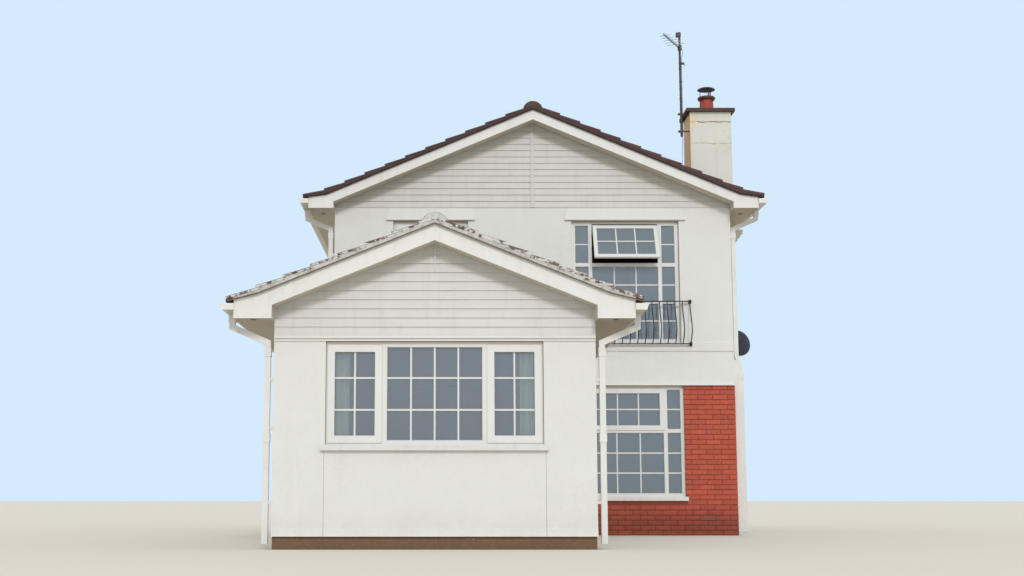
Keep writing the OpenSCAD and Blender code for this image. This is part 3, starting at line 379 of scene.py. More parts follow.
@dataclass(frozen=True)
class Finish:
    """A weathered matt or satin surface; the other finishes build on it."""

    name: str
    colour: Colour
    stain: Colour = (0.32, 0.30, 0.25)
    roughness: float = 0.6
    blotch: float = 0.25
    streak: float = 0.15
    splash: float = 0.0
    grain: float = 240.0
    pits: float = 0.0
    depth: float = 0.0006
    metallic: float = 0.0
    spread: float = 0.0

    def base(self, t: ShaderTree) -> Socket:
        """Returns the colour before weathering, shifted piece by piece where spread is set.

        Args:
            t: the material's tree.

        Returns:
            The colour.
        """
        if self.spread:
            return t.group(EFFECTS.piece_tone, {"Base": self.colour, "Spread": self.spread}).outputs[0]
        return t.mix(t.noise(3.0, 4.0), self.colour, tuple(0.93 * c for c in self.colour))

    def detail(self, face: Surface) -> None:
        """Stains the open pits; the other finishes add here what only they have."""
        face.paint(face.pit, self.stain)

    def material(self) -> Material:
        """Builds the material, or returns the one already built.

        Returns:
            The material.
        """
        made = bpy.data.materials.get(self.name)
        if made:
            return made
        made, t, shader = start_material(self.name)
        grain = t.group(EFFECTS.grain, {"Scale": self.grain, "Pits": self.pits})
        colour = t.group(EFFECTS.weathering, {
            "Base": self.base(t), "Stain": self.stain, "Blotch": self.blotch,
            "Streak": self.streak, "Splash": self.splash}).outputs[0]
        face = Surface(t, colour, grain.outputs[0], grain.outputs[1])
        self.detail(face)
        rough = t.plus(t.times(t.noise(9.0), 0.16), self.roughness - 0.08)
        bump = t.add("ShaderNodeBump", {"Height": face.height, "Strength": 1.0, "Distance": self.depth})
        shader.inputs["Metallic"].default_value = self.metallic
        t.feed(shader.inputs["Base Color"], face.colour)
        t.feed(shader.inputs["Roughness"], rough)
        t.feed(shader.inputs["Normal"], bump.outputs[0])
        return made


@dataclass(frozen=True)
class RenderFinish(Finish):
    """Roughcast render with movement joints, its downward faces tinted tan as painted shade in part and
    grime in part.
    """

    joints: tuple[Point, ...] = ()
    # The colour of downward faces, such as window heads: painted shade and bounce light in part, grime
    # in part.
    ledge: Colour = (0.50, 0.43, 0.33)

    def detail(self, face: Surface) -> None:
        """Adds the pits, the stone grains, the movement joints and the tan downward faces, which are
        painted shade in part.

        Args:
            face: the surface, which this changes.
        """
        t = face.tree
        super().detail(face)
        face.lift(t.times(t.band(t.cells(130.0), 0.05, 0.42), 0.8))
        shade = t.band(t.noise(55.0, 5.0, None, 0.7), 0.30, 0.72)
        face.paint(t.times(shade, 0.10), (0.50, 0.49, 0.45))
        for across, top in self.joints:
            off = t.apart(t.axis("X"), across)
            line = t.times(t.band(off, 0.004, 0.002), t.below(t.axis("Z"), top))
            face.paint(t.times(line, 0.75), (0.30, 0.29, 0.26))
        # Painted shade in part: faces that look down take the ledge colour.
        face.paint(t.band(t.facing("Z"), -0.4, -0.8), self.ledge)


@dataclass(frozen=True)
class BoardFinish(Finish):
    """Painted boards whose downward faces and returns are coloured beige, as painted shade and bounce
    light in part and grime in part.
    """

    # Painted shade and bounce light in part, grime in part: the colours of the undersides, slopes and
    # returns.
    underside: Colour = (0.340, 0.285, 0.185)
    slanting: Colour = (0.56, 0.51, 0.41)
    returns: Colour = (0.52, 0.45, 0.34)

    def detail(self, face: Surface) -> None:
        """Adds the beige of the undersides, the slopes and, fainter, the returns: painted shade and
        bounce light in part, grime in part.

        Args:
            face: the surface, which this changes.
        """
        t = face.tree
        side = t.band(t.math("ABSOLUTE", t.facing("X")), 0.75, 0.9)
        down = t.facing("Z")
        # Painted shade: returns, slopes and undersides turn beige, with some grime.
        face.paint(t.times(side, 0.6), self.returns)
        face.paint(t.times(t.band(down, -0.25, -0.60), 0.95), self.slanting)
        face.paint(t.band(down, -0.94, -0.98), self.underside)


@dataclass(frozen=True)
class BoardingFinish(Finish):
    """Lapped boarding, darker in a band just below each lap line."""

    foot: float = 0.0
    lap: float = 0.1

    def detail(self, face: Surface) -> None:
        """Adds a faint long grain and a darker band just below each lap line.

        Args:
            face: the surface, which this changes.
        """
        t = face.tree
        share = t.math("FRACT", t.math("DIVIDE", t.minus(t.axis("Z"), self.foot), self.lap))
        under_lap = t.times(t.band(share, 0.78, 1.0), t.band(t.noise(3.5, 5.0), 0.25, 0.7))
        face.paint(t.times(under_lap, 0.35), self.stain)
        face.lift(t.noise(1.0, 4.0, t.stretched((3.0, 3.0, 160.0))))


@dataclass(frozen=True)
class TileFinish(Finish):
    """Concrete roof tiles with lichen and, where worn_before is set, a pale worn front edge."""

    lichen: float = 0.3
    lichen_colour: Colour = (0.42, 0.42, 0.34)
    spread: float = 0.38
    worn_before: float = -99.0
    worn_colour: Colour = (0.62, 0.61, 0.57)

    def detail(self, face: Surface) -> None:
        """Adds lichen spots, a granular face and the worn front edge.

        Args:
            face: the surface, which this changes.
        """
        t = face.tree
        mask = t.group(EFFECTS.lichen, {"Scale": 26.0, "Amount": self.lichen}).outputs[0]
        face.paint(mask, self.lichen_colour)
        face.paint(t.times(t.noise(160.0), 0.25), (0.03, 0.02, 0.02))
        worn = t.band(t.noise(11.0, 5.0, None, 0.7), 0.46, 0.53)
        face.paint(t.times(t.below(t.axis("Y"), self.worn_before), worn), self.worn_colour)
        face.lift(t.times(mask, 1.5))


@dataclass(frozen=True)
class VergeFinish(TileFinish):
    """Pale verge mortar that ends in dark tile tails over the eaves."""

    ridge_x: float = 0.0
    tail_from: float = 9.0
    tail_colour: Colour = (0.060, 0.032, 0.030)

    def detail(self, face: Surface) -> None:
        """Adds purple-brown mottling and the dark tails past the fascias.

        Args:
            face: the surface, which this changes.
        """
        t = face.tree
        super().detail(face)
        mottle = t.band(t.noise(23.0, 5.0, None, 0.7), 0.50, 0.66)
        face.paint(t.times(mottle, 0.55), (0.20, 0.13, 0.125))
        face.paint(t.above(t.apart(t.axis("X"), self.ridge_x), self.tail_from), self.tail_colour)


@dataclass(frozen=True)
class BrickFinish(Finish):
    """Painted brick with worn arrises and pale chips."""

    chip: Colour = (0.62, 0.45, 0.40)
    chips: float = 0.85
    spread: float = 0.30
    render: Colour = (0.72, 0.72, 0.68)
    render_left_of: float = -9.0
    # Height from which the brick darkens downward, partly as painted shade.
    dark_below: float = 0.55

    def detail(self, face: Surface) -> None:
        """Adds soft paint dabs, pale chips, the darker foot (painted shade in part, grime in part) and
        coarse brick creases.

        Args:
            face: the surface, which this changes.
        """
        t = face.tree
        dabs = t.band(t.noise(24.0, 4.0), 0.35, 0.7)
        face.paint(t.times(dabs, 0.35), tuple(0.55 * c for c in self.colour))
        face.paint(t.times(t.band(t.noise(42.0, 3.0), 0.71, 0.74), self.chips), self.chip)
        # Darker towards the foot: painted shade in part, grime in part.
        low = t.times(t.band(t.axis("Z"), self.dark_below, self.dark_below - 0.35), 0.5)
        face.paint(low, tuple(0.22 * c for c in self.colour))
        face.paint(t.below(t.axis("X"), self.render_left_of), self.render)
        face.lift(t.times(t.noise(1.0, 5.0, t.stretched((26.0, 26.0, 70.0)), 0.7), 2.5))


@dataclass(frozen=True)
class ChimneyFinish(Finish):
    """Cream render over the stack, with cracks, rust streaks and a repair patch."""

    cracks: tuple[Point, ...] = ()
    left_x: float = 0.0
    patch: Point = (0.0, 0.0)

    def detail(self, face: Surface) -> None:
        """Adds level cracks with tan stains, the rusty left side, brightened as painted light, and the
        patch.

        Args:
            face: the surface, which this changes.
        """
        t = face.tree
        super().detail(face)
        level = t.axis("Z")
        wander = t.times(t.minus(t.noise(7.0, 5.0), 0.5), 0.06)
        for crack, depth in self.cracks:
            off = t.apart(t.plus(level, wander), crack)
            worn = t.times(t.band(t.noise(14.0, 3.0), 0.30, 0.55), depth)
            line = t.times(t.band(off, 0.0085, 0.004), worn)
            face.paint(t.times(t.times(t.band(off, 0.030, 0.0), 0.45), worn), (0.46, 0.34, 0.20))
            face.paint(line, (0.12, 0.085, 0.06))
            face.lift(t.times(line, -2.0))
        runs = t.band(t.noise(1.0, 5.0, t.stretched((9.0, 16.0, 1.3)), 0.7), 0.30, 0.66)
        # Painted light in part: the left face takes a bright rust tan, real rust runs made bright for
        # light that the lamp does not give there.
        rust = t.times(t.band(t.axis("X"), self.left_x + 0.012, self.left_x + 0.002),
                       t.plus(t.times(runs, 0.65), 0.35))
        face.paint(t.times(rust, t.above(level, self.patch[0] - 1.0)), (0.80, 0.47, 0.20))
        slope = t.plus(t.plus(level, t.times(t.axis("Y"), 0.9)), wander)
        slope = t.math("FRACT", t.times(slope, 3.1))
        seam = t.times(t.band(t.apart(slope, 0.5), 0.035, 0.010), rust)
        face.paint(t.times(seam, 0.7), (0.14, 0.08, 0.05))
        face.paint(self._repair(t), (0.80, 0.62, 0.38))

    def _repair(self, t: ShaderTree) -> Socket:
        """Returns the mask of the tan patch by the front left corner, cut off aslant below.

        Args:
            t: the material's tree.

        Returns:
            The mask.
        """
        low, high = self.patch
        across = t.minus(t.axis("X"), self.left_x)
        slant = t.plus(across, t.math("MAXIMUM", t.minus(low + 0.10, t.axis("Z")), 0.0))
        slant = t.plus(slant, t.math("MAXIMUM", t.minus(t.axis("Z"), high - 0.07), 0.0))
        inside = t.times(t.band(slant, 0.110, 0.106), t.below(t.axis("Z"), high))
        return t.times(inside, 0.8)


@dataclass(frozen=True)
class ClayFinish(Finish):
    """Fired clay that darkens with soot towards its top."""

    soot_from: float = 0.0
    soot_to: float = 1.0

    def detail(self, face: Surface) -> None:
        """Adds throwing rings and soot.

        Args:
            face: the surface, which this changes.
        """
        t = face.tree
        soot = t.plus(t.axis("Z"), t.times(t.noise(22.0, 4.0), 0.05))
        soot = t.band(soot, self.soot_from, self.soot_to)
        face.paint(t.times(soot, 0.85), (0.05, 0.035, 0.035))
        face.lift(t.noise(1.0, 2.0, t.stretched((1.0, 1.0, 150.0))))


@dataclass(frozen=True)
class MetalFinish(Finish):
    """Metal or painted metal with rust blooms."""

    rust: float = 0.0
    rust_colour: Colour = (0.16, 0.07, 0.04)
    clean_before: float = -99.0
    clean_colour: Colour = (0.42, 0.49, 0.56)

    def detail(self, face: Surface) -> None:
        """Adds rust in patches, but none on the bare metal in front of clean_before.

        Args:
            face: the surface, which this changes.
        """
        t = face.tree
        bloom = t.times(t.band(t.noise(34.0, 5.0, None, 0.7), 0.42, 0.62), self.rust)
        face.paint(bloom, self.rust_colour)
        face.paint(t.below(t.axis("Y"), self.clean_before), self.clean_colour)
        face.lift(bloom)


@dataclass(frozen=True)
class CeilingFinish(Finish):
    """A floor plate: boards on its top and plaster underneath."""

    board: float = 0.14
    plaster: Colour = (0.74, 0.73, 0.70)
    middle: float = 0.0

    def detail(self, face: Surface) -> None:
        """Adds the joints between boards above the middle and plaster below it.

        Args:
            face: the surface, which this changes.
        """
        t = face.tree
        joint = t.below(t.math("FRACT", t.math("DIVIDE", t.axis("X"), self.board)), 0.03)
        face.paint(t.times(joint, 0.8), (0.08, 0.05, 0.03))
        face.paint(t.below(t.axis("Z"), self.middle), self.plaster)


@dataclass(frozen=True)
class GlassFinish:
    """Sealed glass: one plain tint all over, which lets a little of the dark room show; the bluish tints
    are a painted reflection of sky, on top of the shader's own.
    """

    name: str
    colour: Colour
    alpha: float
    mirror: float = 0.65

    def material(self) -> Material:
        """Builds the material, or returns the one already built.

        Returns:
            The material.
        """
        made = bpy.data.materials.get(self.name)
        if made:
            return made
        made, t, shader = start_material(self.name)
        bump = t.add("ShaderNodeBump", {"Height": t.noise(0.9, 1.0), "Strength": 0.15, "Distance": 0.01})
        shader.inputs["Base Color"].default_value = (*self.colour, 1.0)
        t.feed(shader.inputs["Roughness"], t.band(t.noise(4.0, 2.0), -1.0, 9.0))
        t.feed(shader.inputs["Normal"], bump.outputs[0])
        shader.inputs["Alpha"].default_value = self.alpha
        shader.inputs["Metallic"].default_value = self.mirror
        shader.inputs["IOR"].default_value = 1.52
        return made


@dataclass(frozen=True)
class CurtainFinish(Finish):
    """Woven curtain cloth with a fine thread pattern."""

    thread: float = 900.0

    def detail(self, face: Surface) -> None:
        """Adds threads across and down the cloth's own UV map.

        Args:
            face: the surface, which this changes.
        """
        t = face.tree
        parts = t.add("ShaderNodeSeparateXYZ", {0: t.add("ShaderNodeTexCoord").outputs["UV"]})
        weft, warp = (t.math("SINE", t.times(parts.outputs[k], self.thread)) for k in "XY")
        face.lift(t.times(weft, warp))


class Finishes:
    """Every finish of the house, named by what it covers.

    The plain values run: name, colour, stain, roughness, blotch, streak, splash, grain, pits
    and depth. What only one kind of finish has is given by name.
    """

    WALL = (0.765, 0.768, 0.742)
    FRONT = RenderFinish("front roughcast", WALL, (0.40, 0.37, 0.31), 0.88, 0.20, 0.07, 0.5,
                         150.0, 0.55, 0.0022, joints=((-2.625, 1.06), (-0.235, 1.06)))
    SIDE = RenderFinish("side roughcast", (0.72, 0.72, 0.68), (0.30, 0.30, 0.23), 0.9, 0.40, 0.26,
                        0.7, 150.0, 0.6, 0.0022)
    # The main gable boarding is darker than the extension's, partly as painted shade under the main
    # verge.
    MAIN_BOARDING = BoardingFinish("main gable boarding", (0.595, 0.585, 0.545), (0.26, 0.23, 0.18), 0.5,
                                   0.25, 0.2, 0.0, 300.0, 0.0, 0.0003, foot=4.98)
    EXTENSION_BOARDING = BoardingFinish("extension gable boarding", (0.635, 0.622, 0.600),
                                        (0.28, 0.25, 0.19), 0.5, 0.25, 0.2, 0.0, 300.0, 0.0,
                                        0.0003, foot=2.29)
    BOARD = BoardFinish("painted boards", (0.735, 0.735, 0.705), (0.36, 0.33, 0.25), 0.42, 0.25, 0.20)
    # The rainwater plastic's downward faces and returns take beige colours: painted shade and bounce
    # light in part, grime in part.
    RAINWATER = BoardFinish("rainwater plastic", (0.74, 0.74, 0.71), (0.34, 0.33, 0.26), 0.38, 0.30,
                            0.25, 0.3, 320.0, 0.0, 0.0002, underside=(0.56, 0.49, 0.39),
                            slanting=(0.66, 0.60, 0.50), returns=(0.66, 0.63, 0.56))
    FRAME = Finish("window plastic", (0.735, 0.735, 0.720), (0.45, 0.43, 0.36), 0.34, 0.18, 0.12,
                   0.0, 320.0, 0.0, 0.0001)
    SILL = Finish("painted sills", (0.70, 0.69, 0.67), (0.38, 0.35, 0.28), 0.6, 0.4, 0.35)
    DOOR = Finish("door panels", (0.74, 0.74, 0.72), (0.4, 0.38, 0.32), 0.4, 0.15, 0.1)
    MAIN_TILES = TileFinish("main roof tiles", (0.105, 0.052, 0.042), (0.045, 0.03, 0.026), 0.85,
                            0.7, 0.3, 0.0, 120.0, 0.2, 0.0014, lichen=0.22)
    EXTENSION_TILES = TileFinish("extension roof tiles", (0.150, 0.088, 0.074), (0.05, 0.035, 0.03),
                                 0.88, 0.7, 0.3, 0.0, 120.0, 0.2, 0.0014, lichen=0.55,
                                 worn_before=-10.355)
    MAIN_VERGE = TileFinish("main verge edges", (0.085, 0.046, 0.046), (0.045, 0.028, 0.030), 0.9,
                            0.5, 0.3, 0.0, 140.0, 0.3, 0.0016, lichen=0.12, spread=0.001)
    MORTAR_VERGE = VergeFinish("extension verge mortar", (0.66, 0.66, 0.63), (0.20, 0.16, 0.15), 0.92,
                               0.7, 0.3, 0.0, 90.0, 0.7, 0.003, lichen=0.3,
                               lichen_colour=(0.74, 0.74, 0.70), spread=0.001, ridge_x=-1.433,
                               tail_from=2.157)
    # Both undercloak strips are dark, the main one near black, partly as painted shade of the line under
    # each verge.
    UNDERCLOAK = Finish("extension undercloak", (0.150, 0.115, 0.070), (0.06, 0.045, 0.03), 0.9,
                        0.5, 0.2)
    MAIN_UNDERCLOAK = Finish("main undercloak", (0.022, 0.014, 0.018), (0.01, 0.01, 0.01), 0.9, 0.5, 0.2)
    RIDGE = TileFinish("ridge tiles", (0.115, 0.056, 0.045), (0.045, 0.03, 0.026), 0.85, 0.6,
                       0.3, 0.0, 120.0, 0.3, 0.0015, lichen=0.35)
    BRICK = BrickFinish("painted brick", (0.485, 0.084, 0.044), (0.18, 0.040, 0.022), 0.72, 0.5, 0.2,
                        0.7, 90.0, 0.4, 0.0026, spread=0.30)
    BRICK_JOINT = BrickFinish("painted brick joints", (0.27, 0.052, 0.030), (0.10, 0.03, 0.022), 0.9,
                              0.5, 0.3, 0.7, 110.0, 0.5, 0.002, chips=0.35, spread=0.001,
                              render_left_of=-2.90)
    PLINTH = BrickFinish("plinth paint", (0.200, 0.116, 0.062), (0.08, 0.055, 0.04), 0.8, 0.6, 0.3,
                         0.3, 90.0, 0.4, 0.0018, chip=(0.62, 0.57, 0.48), chips=0.8, spread=0.001,
                         dark_below=0.10)
    CHIMNEY = ChimneyFinish("chimney render", (0.71, 0.71, 0.65), (0.32, 0.28, 0.21), 0.9, 0.40,
                            0.30, 0.6, 120.0, 0.8, 0.0022, cracks=((6.731, 1.0), (6.366, 0.4)),
                            left_x=STACK[0], patch=(6.58, 6.868))
    CAP = TileFinish("cap slab", (0.085, 0.048, 0.038), (0.05, 0.035, 0.03), 0.85, 0.9, 0.5, 0.0,
                     90.0, 0.5, 0.003, lichen=0.35, spread=0.001)
    POT = ClayFinish("clay pot", (0.40, 0.062, 0.036), (0.10, 0.035, 0.03), 0.7, 0.4, 0.3, 0.0, 140.0,
                     0.1, 0.001, soot_from=7.175, soot_to=7.215)
    COWL = MetalFinish("cowl metal", (0.028, 0.020, 0.026), (0.02, 0.012, 0.014), 0.62, 0.3, 0.2,
                       metallic=0.2, rust=0.25, rust_colour=(0.05, 0.02, 0.022))
    MAST = MetalFinish("mast metal", (0.060, 0.048, 0.055), (0.04, 0.03, 0.03), 0.55, 0.4, 0.3,
                       metallic=0.5, rust=0.9, clean_before=-2.36)
    DISH = MetalFinish("dish paint", (0.058, 0.078, 0.105), (0.03, 0.035, 0.04), 0.45, 0.3, 0.3,
                       metallic=0.2, rust=0.12)
    IRON = MetalFinish("railing paint", (0.006, 0.008, 0.016), (0.02, 0.02, 0.025), 0.45, 0.1, 0.05,
                       rust=0.10)
    LEAD = MetalFinish("lead sheet", (0.22, 0.23, 0.245), (0.50, 0.51, 0.52), 0.5, 0.7, 0.4,
                       metallic=0.4)
    SEALANT = Finish("window sealant", (0.40, 0.29, 0.18), (0.20, 0.14, 0.09), 0.8, 0.4, 0.1)
    RUBBER = Finish("glazing gasket", (0.07, 0.07, 0.07), (0.14, 0.14, 0.13), 0.7, 0.2, 0.1)
    VENT_GRILLE = Finish("vent grille", (0.10, 0.085, 0.07), (0.2, 0.18, 0.15), 0.6)
    CONCRETE = Finish("floor concrete", (0.42, 0.40, 0.37), (0.25, 0.23, 0.2), 0.8, 0.5, 0.0, 0.0,
                      110.0, 0.4, 0.001)
    FLOOR = CeilingFinish("first floor", (0.40, 0.27, 0.16), (0.2, 0.12, 0.07), 0.5, 0.3, 0.1,
                          middle=2.50)
    # Painted reflection: the bluish tints of each window's glass stand in for the sky seen in its panes.
    GLASS = GlassFinish("front glass", (0.235, 0.285, 0.325), 0.80)
    EXTENSION_GLASS = GlassFinish("extension glass", (0.345, 0.400, 0.455), 0.44)
    REAR_GLASS = GlassFinish("rear glass", (0.30, 0.36, 0.42), 0.60)
    # Painted light in part: the cloth is made paler to stand in for light that the closed room lacks.
    CURTAIN = CurtainFinish("curtain cloth", (0.80, 0.93, 0.80), (0.66, 0.80, 0.66), 0.9, 0.1, 0.1)


@dataclass(frozen=True)
class RoofForm:
    """The stepped tile courses of one block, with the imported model's sizes in metres."""

    ridge_x: float
    half_width: float
    plate_z: float
    pitch: float
    kick_out: float
    kick_fall: float
    fascia_out: float
    gauge: float
    front_y: float
    rear_y: float
    box_z: float
    bed: float = 0.060
    step: float = 0.028
    tail_height: float = 0.045
    tail_thickness: float = 0.045
    eaves_over: float = 0.082
    eaves_course: float = 0.320
    ridge_radius: float = 0.151
    ridge_rise: float = 0.066
    gutter_drop: float = 0.014
    gutter_height: float = 0.070
    gutter_width: float = 0.144
    gutter_foot: float = 0.120

    @property
    def fascia_x(self) -> float:
        """Distance of the fascia's face from the ridge line."""
        return self.half_width + self.fascia_out

    @property
    def tail_x(self) -> float:
        """Distance of the lowest tiles' tails from the ridge line."""
        return self.fascia_x + self.eaves_over

    @property
    def gutter_z(self) -> float:
        """Height of the gutter's underside."""
        tail_foot = self.under(self.tail_x) + self.tail_height - self.tail_thickness
        return tail_foot - self.gutter_drop - self.gutter_height

    @property
    def ridge_top(self) -> float:
        """Height of the ridge tiles' top."""
        return self.under(0.0) + self.bed + self.ridge_rise

    def under(self, x: float) -> float:
        """Returns the height of the roof's underside at a distance x from the ridge line.

        Args:
            x: distance from the ridge line.

        Returns:
            The height.
        """
        kick = self.half_width + self.kick_out
        slope = math.tan(math.radians(self.pitch))
        if x <= kick:
            return self.plate_z + (self.half_width - x) * slope
        return self.plate_z - self.kick_out * slope - (x - kick) * self.kick_fall

    def courses(self) -> list[tuple[Point, Point]]:
        """Returns each course's head and tail as (distance from the ridge line, height).

        Returns:
            The courses, top course first.
        """
        low = self.tail_x - self.eaves_course
        count = math.floor((low - self.gauge / 4) / self.gauge)
        ends = [low - i * self.gauge for i in range(count, -1, -1)]
        heads = [0.0] + ends
        lines = [((head, self.under(head) + self.bed), (tail, self.under(tail) + self.bed + self.step))
                 for head, tail in zip(heads, ends)]
        foot = (self.tail_x, self.under(self.tail_x) + self.tail_height)
        lines.append(((low, self.under(low) + self.bed), foot))
        return lines


MAIN_ROOF = RoofForm(
    ridge_x=0.0, half_width=3.04, plate_z=5.163, pitch=22.9, kick_out=0.105, kick_fall=0.14,
    fascia_out=0.380, gauge=0.308, front_y=-4.167, rear_y=4.147, box_z=4.914)
EXTENSION_ROOF = RoofForm(
    ridge_x=-1.433, half_width=1.747, plate_z=2.767, pitch=22.0, kick_out=0.140, kick_fall=0.25,
    fascia_out=0.408, gauge=0.291, front_y=-10.367, rear_y=-3.80, box_z=2.450)


def corners(geometry: list) -> list:
    """Returns the vertices among mixed mesh elements."""
    return [g for g in geometry if isinstance(g, bmesh.types.BMVert)]


def once(items: Iterable) -> list:
    """Returns the items without repeats, in the order in which they first come."""
    return list(dict.fromkeys(items))


def faces_of(verts: list) -> list:
    """Returns the faces that touch any of the vertices."""
    return once(f for v in verts for f in v.link_faces)


def upright(middle: Place, width: float, height: float) -> Matrix:
    """Returns the matrix that stands a grid of one metre upright, facing the street."""
    return Matrix.Translation(middle) @ Matrix.Rotation(math.pi / 2, 4, "X") @ Matrix.Diagonal(
        (width, height, 1.0, 1.0))


class Workpiece:
    """A bmesh that becomes one finished object, with its place in its mesh."""

    def __init__(self, name: str) -> None:
        """Starts an empty mesh.

        Args:
            name: the piece's name.
        """
        self.name = name
        self.bm = bmesh.new()
        self.tone = self.bm.faces.layers.float.new("tone")

    def shade(self, verts: list, tone: float) -> None:
        """Gives the faces round some vertices the value of their piece-by-piece colour."""
        for face in faces_of(verts):
            face[self.tone] = tone

    def bevel(self, edges: list, width: float) -> list:
        """Bevels edges with one flat face each and returns the new vertices."""
        return bmesh.ops.bevel(self.bm, geom=edges, offset=width, offset_type="OFFSET", segments=1,
                               profile=0.5, affect="EDGES", material=-1)["verts"]

    def box(self, low: Place, high: Place, chamfer: float = 0.0, turn: Matrix | None = None,
            tone: float = 0.5) -> list:
        """Adds a box, with its edges bevelled where a chamfer is given.

        Args:
            low: lowest corner.
            high: highest corner.
            chamfer: width of the bevel.
            turn: a transform put on the finished box.
            tone: the value its faces carry for piece-by-piece colour.

        Returns:
            The new vertices.
        """
        middle = (Vector(low) + Vector(high)) / 2
        size = [abs(b - a) for a, b in zip(low, high)]
        matrix = Matrix.Translation(middle) @ Matrix.Diagonal((*size, 1.0))
        verts = bmesh.ops.create_cube(self.bm, size=1.0, matrix=matrix)["verts"]
        if chamfer:
            verts = self.bevel(once(e for v in verts for e in v.link_edges), chamfer)
        self.shade(verts, tone)
        if turn is not None:
            bmesh.ops.transform(self.bm, matrix=turn, verts=verts)
        return verts

    def prism(self, outline: list[Vector], along: Vector, tone: float = 0.5) -> list:
        """Extrudes a flat outline.

        Args:
            outline: corners of one end.
            along: the way and length of the extrusion.
            tone: the value its faces carry.

        Returns:
            The new vertices.
        """
        start = [self.bm.verts.new(p) for p in outline]
        face = self.bm.faces.new(start)
        made = bmesh.ops.extrude_face_region(self.bm, geom=[face], use_keep_orig=True)["geom"]
        moved = corners(made)
        bmesh.ops.translate(self.bm, vec=along, verts=moved)
        verts = start + moved
        self.shade(verts, tone)
        return verts

    def sheet(self, line: list[Vector], along: Vector, thickness: float) -> list:
        """Extrudes an open line to a strip and gives it a thickness.

        Args:
            line: points of the open line.
            along: the way and length of the extrusion.
            thickness: wall of the strip.

        Returns:
            The new vertices.
        """
        verts = [self.bm.verts.new(p) for p in line]
        edges = [self.bm.edges.new(pair) for pair in zip(verts, verts[1:])]
        made = bmesh.ops.extrude_edge_only(self.bm, edges=edges)["geom"]
        moved = corners(made)
        bmesh.ops.translate(self.bm, vec=along, verts=moved)
        faces = faces_of(verts + moved)
        bmesh.ops.recalc_face_normals(self.bm, faces=faces)
        made = bmesh.ops.solidify(self.bm, geom=faces, thickness=thickness)["geom"]
        return verts + moved + corners(made)

    def rod(self, start: Place, end: Place, radius: float, sides: int = 10,
            end_radius: float | None = None) -> list:
        """Adds a round bar between two points, tapered where an end radius is given.

        Args:
            start: middle of one end.
            end: middle of the other end.
            radius: radius at the start.
            sides: number of sides.
            end_radius: radius at the end, where it differs.

        Returns:
            The new vertices.
        """
        a, b = Vector(start), Vector(end)
        way = b - a
        matrix = Matrix.Translation((a + b) / 2) @ way.to_track_quat("Z", "Y").to_matrix().to_4x4()
        return bmesh.ops.create_cone(self.bm, cap_ends=True, segments=sides, radius1=radius,
                                     radius2=radius if end_radius is None else end_radius,
                                     depth=way.length, matrix=matrix)["verts"]

    def ball(self, middle: Place, radius: float, flat: float = 1.0) -> list:
        """Adds a ball, flattened along Z by the given share.

        Args:
            middle: the centre.
            radius: the radius across.
            flat: scale along Z.

        Returns:
            The new vertices.
        """
        matrix = Matrix.Translation(middle) @ Matrix.Diagonal((1.0, 1.0, flat, 1.0))
        return bmesh.ops.create_uvsphere(self.bm, u_segments=16, v_segments=8, radius=radius,
                                         matrix=matrix)["verts"]

    def border(self, x0: float, x1: float, z0: float, z1: float, front: float, back: float,
               face: float, chamfer: float = 0.0) -> list:
        """Adds a four-sided frame that lies in the plane of a window.

        Args:
            x0: outer left side.
            x1: outer right side.
            z0: outer foot.
            z1: outer head.
            front: Y of the front face.
            back: Y of the rear face.
            face: width of each member.
            chamfer: bevel of the front edges.

        Returns:
            The new vertices.
        """
        flat = upright(((x0 + x1) / 2, front, (z0 + z1) / 2), x1 - x0, z1 - z0)
        made = bmesh.ops.create_grid(self.bm, x_segments=1, y_segments=1, size=0.5, matrix=flat)
        middle = made["verts"][0].link_faces[0]
        rim = bmesh.ops.inset_region(self.bm, faces=[middle], thickness=face, use_even_offset=True,
                                     use_boundary=True)["faces"]
        bmesh.ops.delete(self.bm, geom=[middle], context="FACES_ONLY")
        grown = bmesh.ops.extrude_face_region(self.bm, geom=rim, use_keep_orig=True)["geom"]
        moved = corners(grown)
        bmesh.ops.translate(self.bm, vec=(0.0, back - front, 0.0), verts=moved)
        verts = once(v for f in rim for v in f.verts)
        if chamfer:
            edges = [e for e in once(e for f in rim for e in f.edges)
                     if len([f for f in e.link_faces if f in rim]) == 1]
            made = self.bevel(edges, chamfer)
            verts = [v for v in verts if v.is_valid] + made
        return once(verts + moved)

    def stamp(self, unit: Mesh, matrix: Matrix, tone: float) -> None:
        """Adds a copy of a small mesh.

        Args:
            unit: the mesh to copy.
            matrix: where it goes.
            tone: the value its faces carry.
        """
        verts_before, faces_before = len(self.bm.verts), len(self.bm.faces)
        self.bm.from_mesh(unit)
        self.bm.verts.ensure_lookup_table()
        self.bm.faces.ensure_lookup_table()
        bmesh.ops.transform(self.bm, matrix=matrix, verts=self.bm.verts[verts_before:])
        for face in self.bm.faces[faces_before:]:
            face[self.tone] = tone

    def turn(self, matrix: Matrix) -> None:
        """Moves the whole piece."""
        bmesh.ops.transform(self.bm, matrix=matrix, verts=self.bm.verts[:])

    def unit(self) -> Mesh:
        """Ends the piece as a bare mesh for stamping.

        Returns:
            The mesh.
        """
        bmesh.ops.recalc_face_normals(self.bm, faces=self.bm.faces[:])
        mesh = bpy.data.meshes.new(self.name)
        self.bm.to_mesh(mesh)
        self.bm.free()
        return mesh

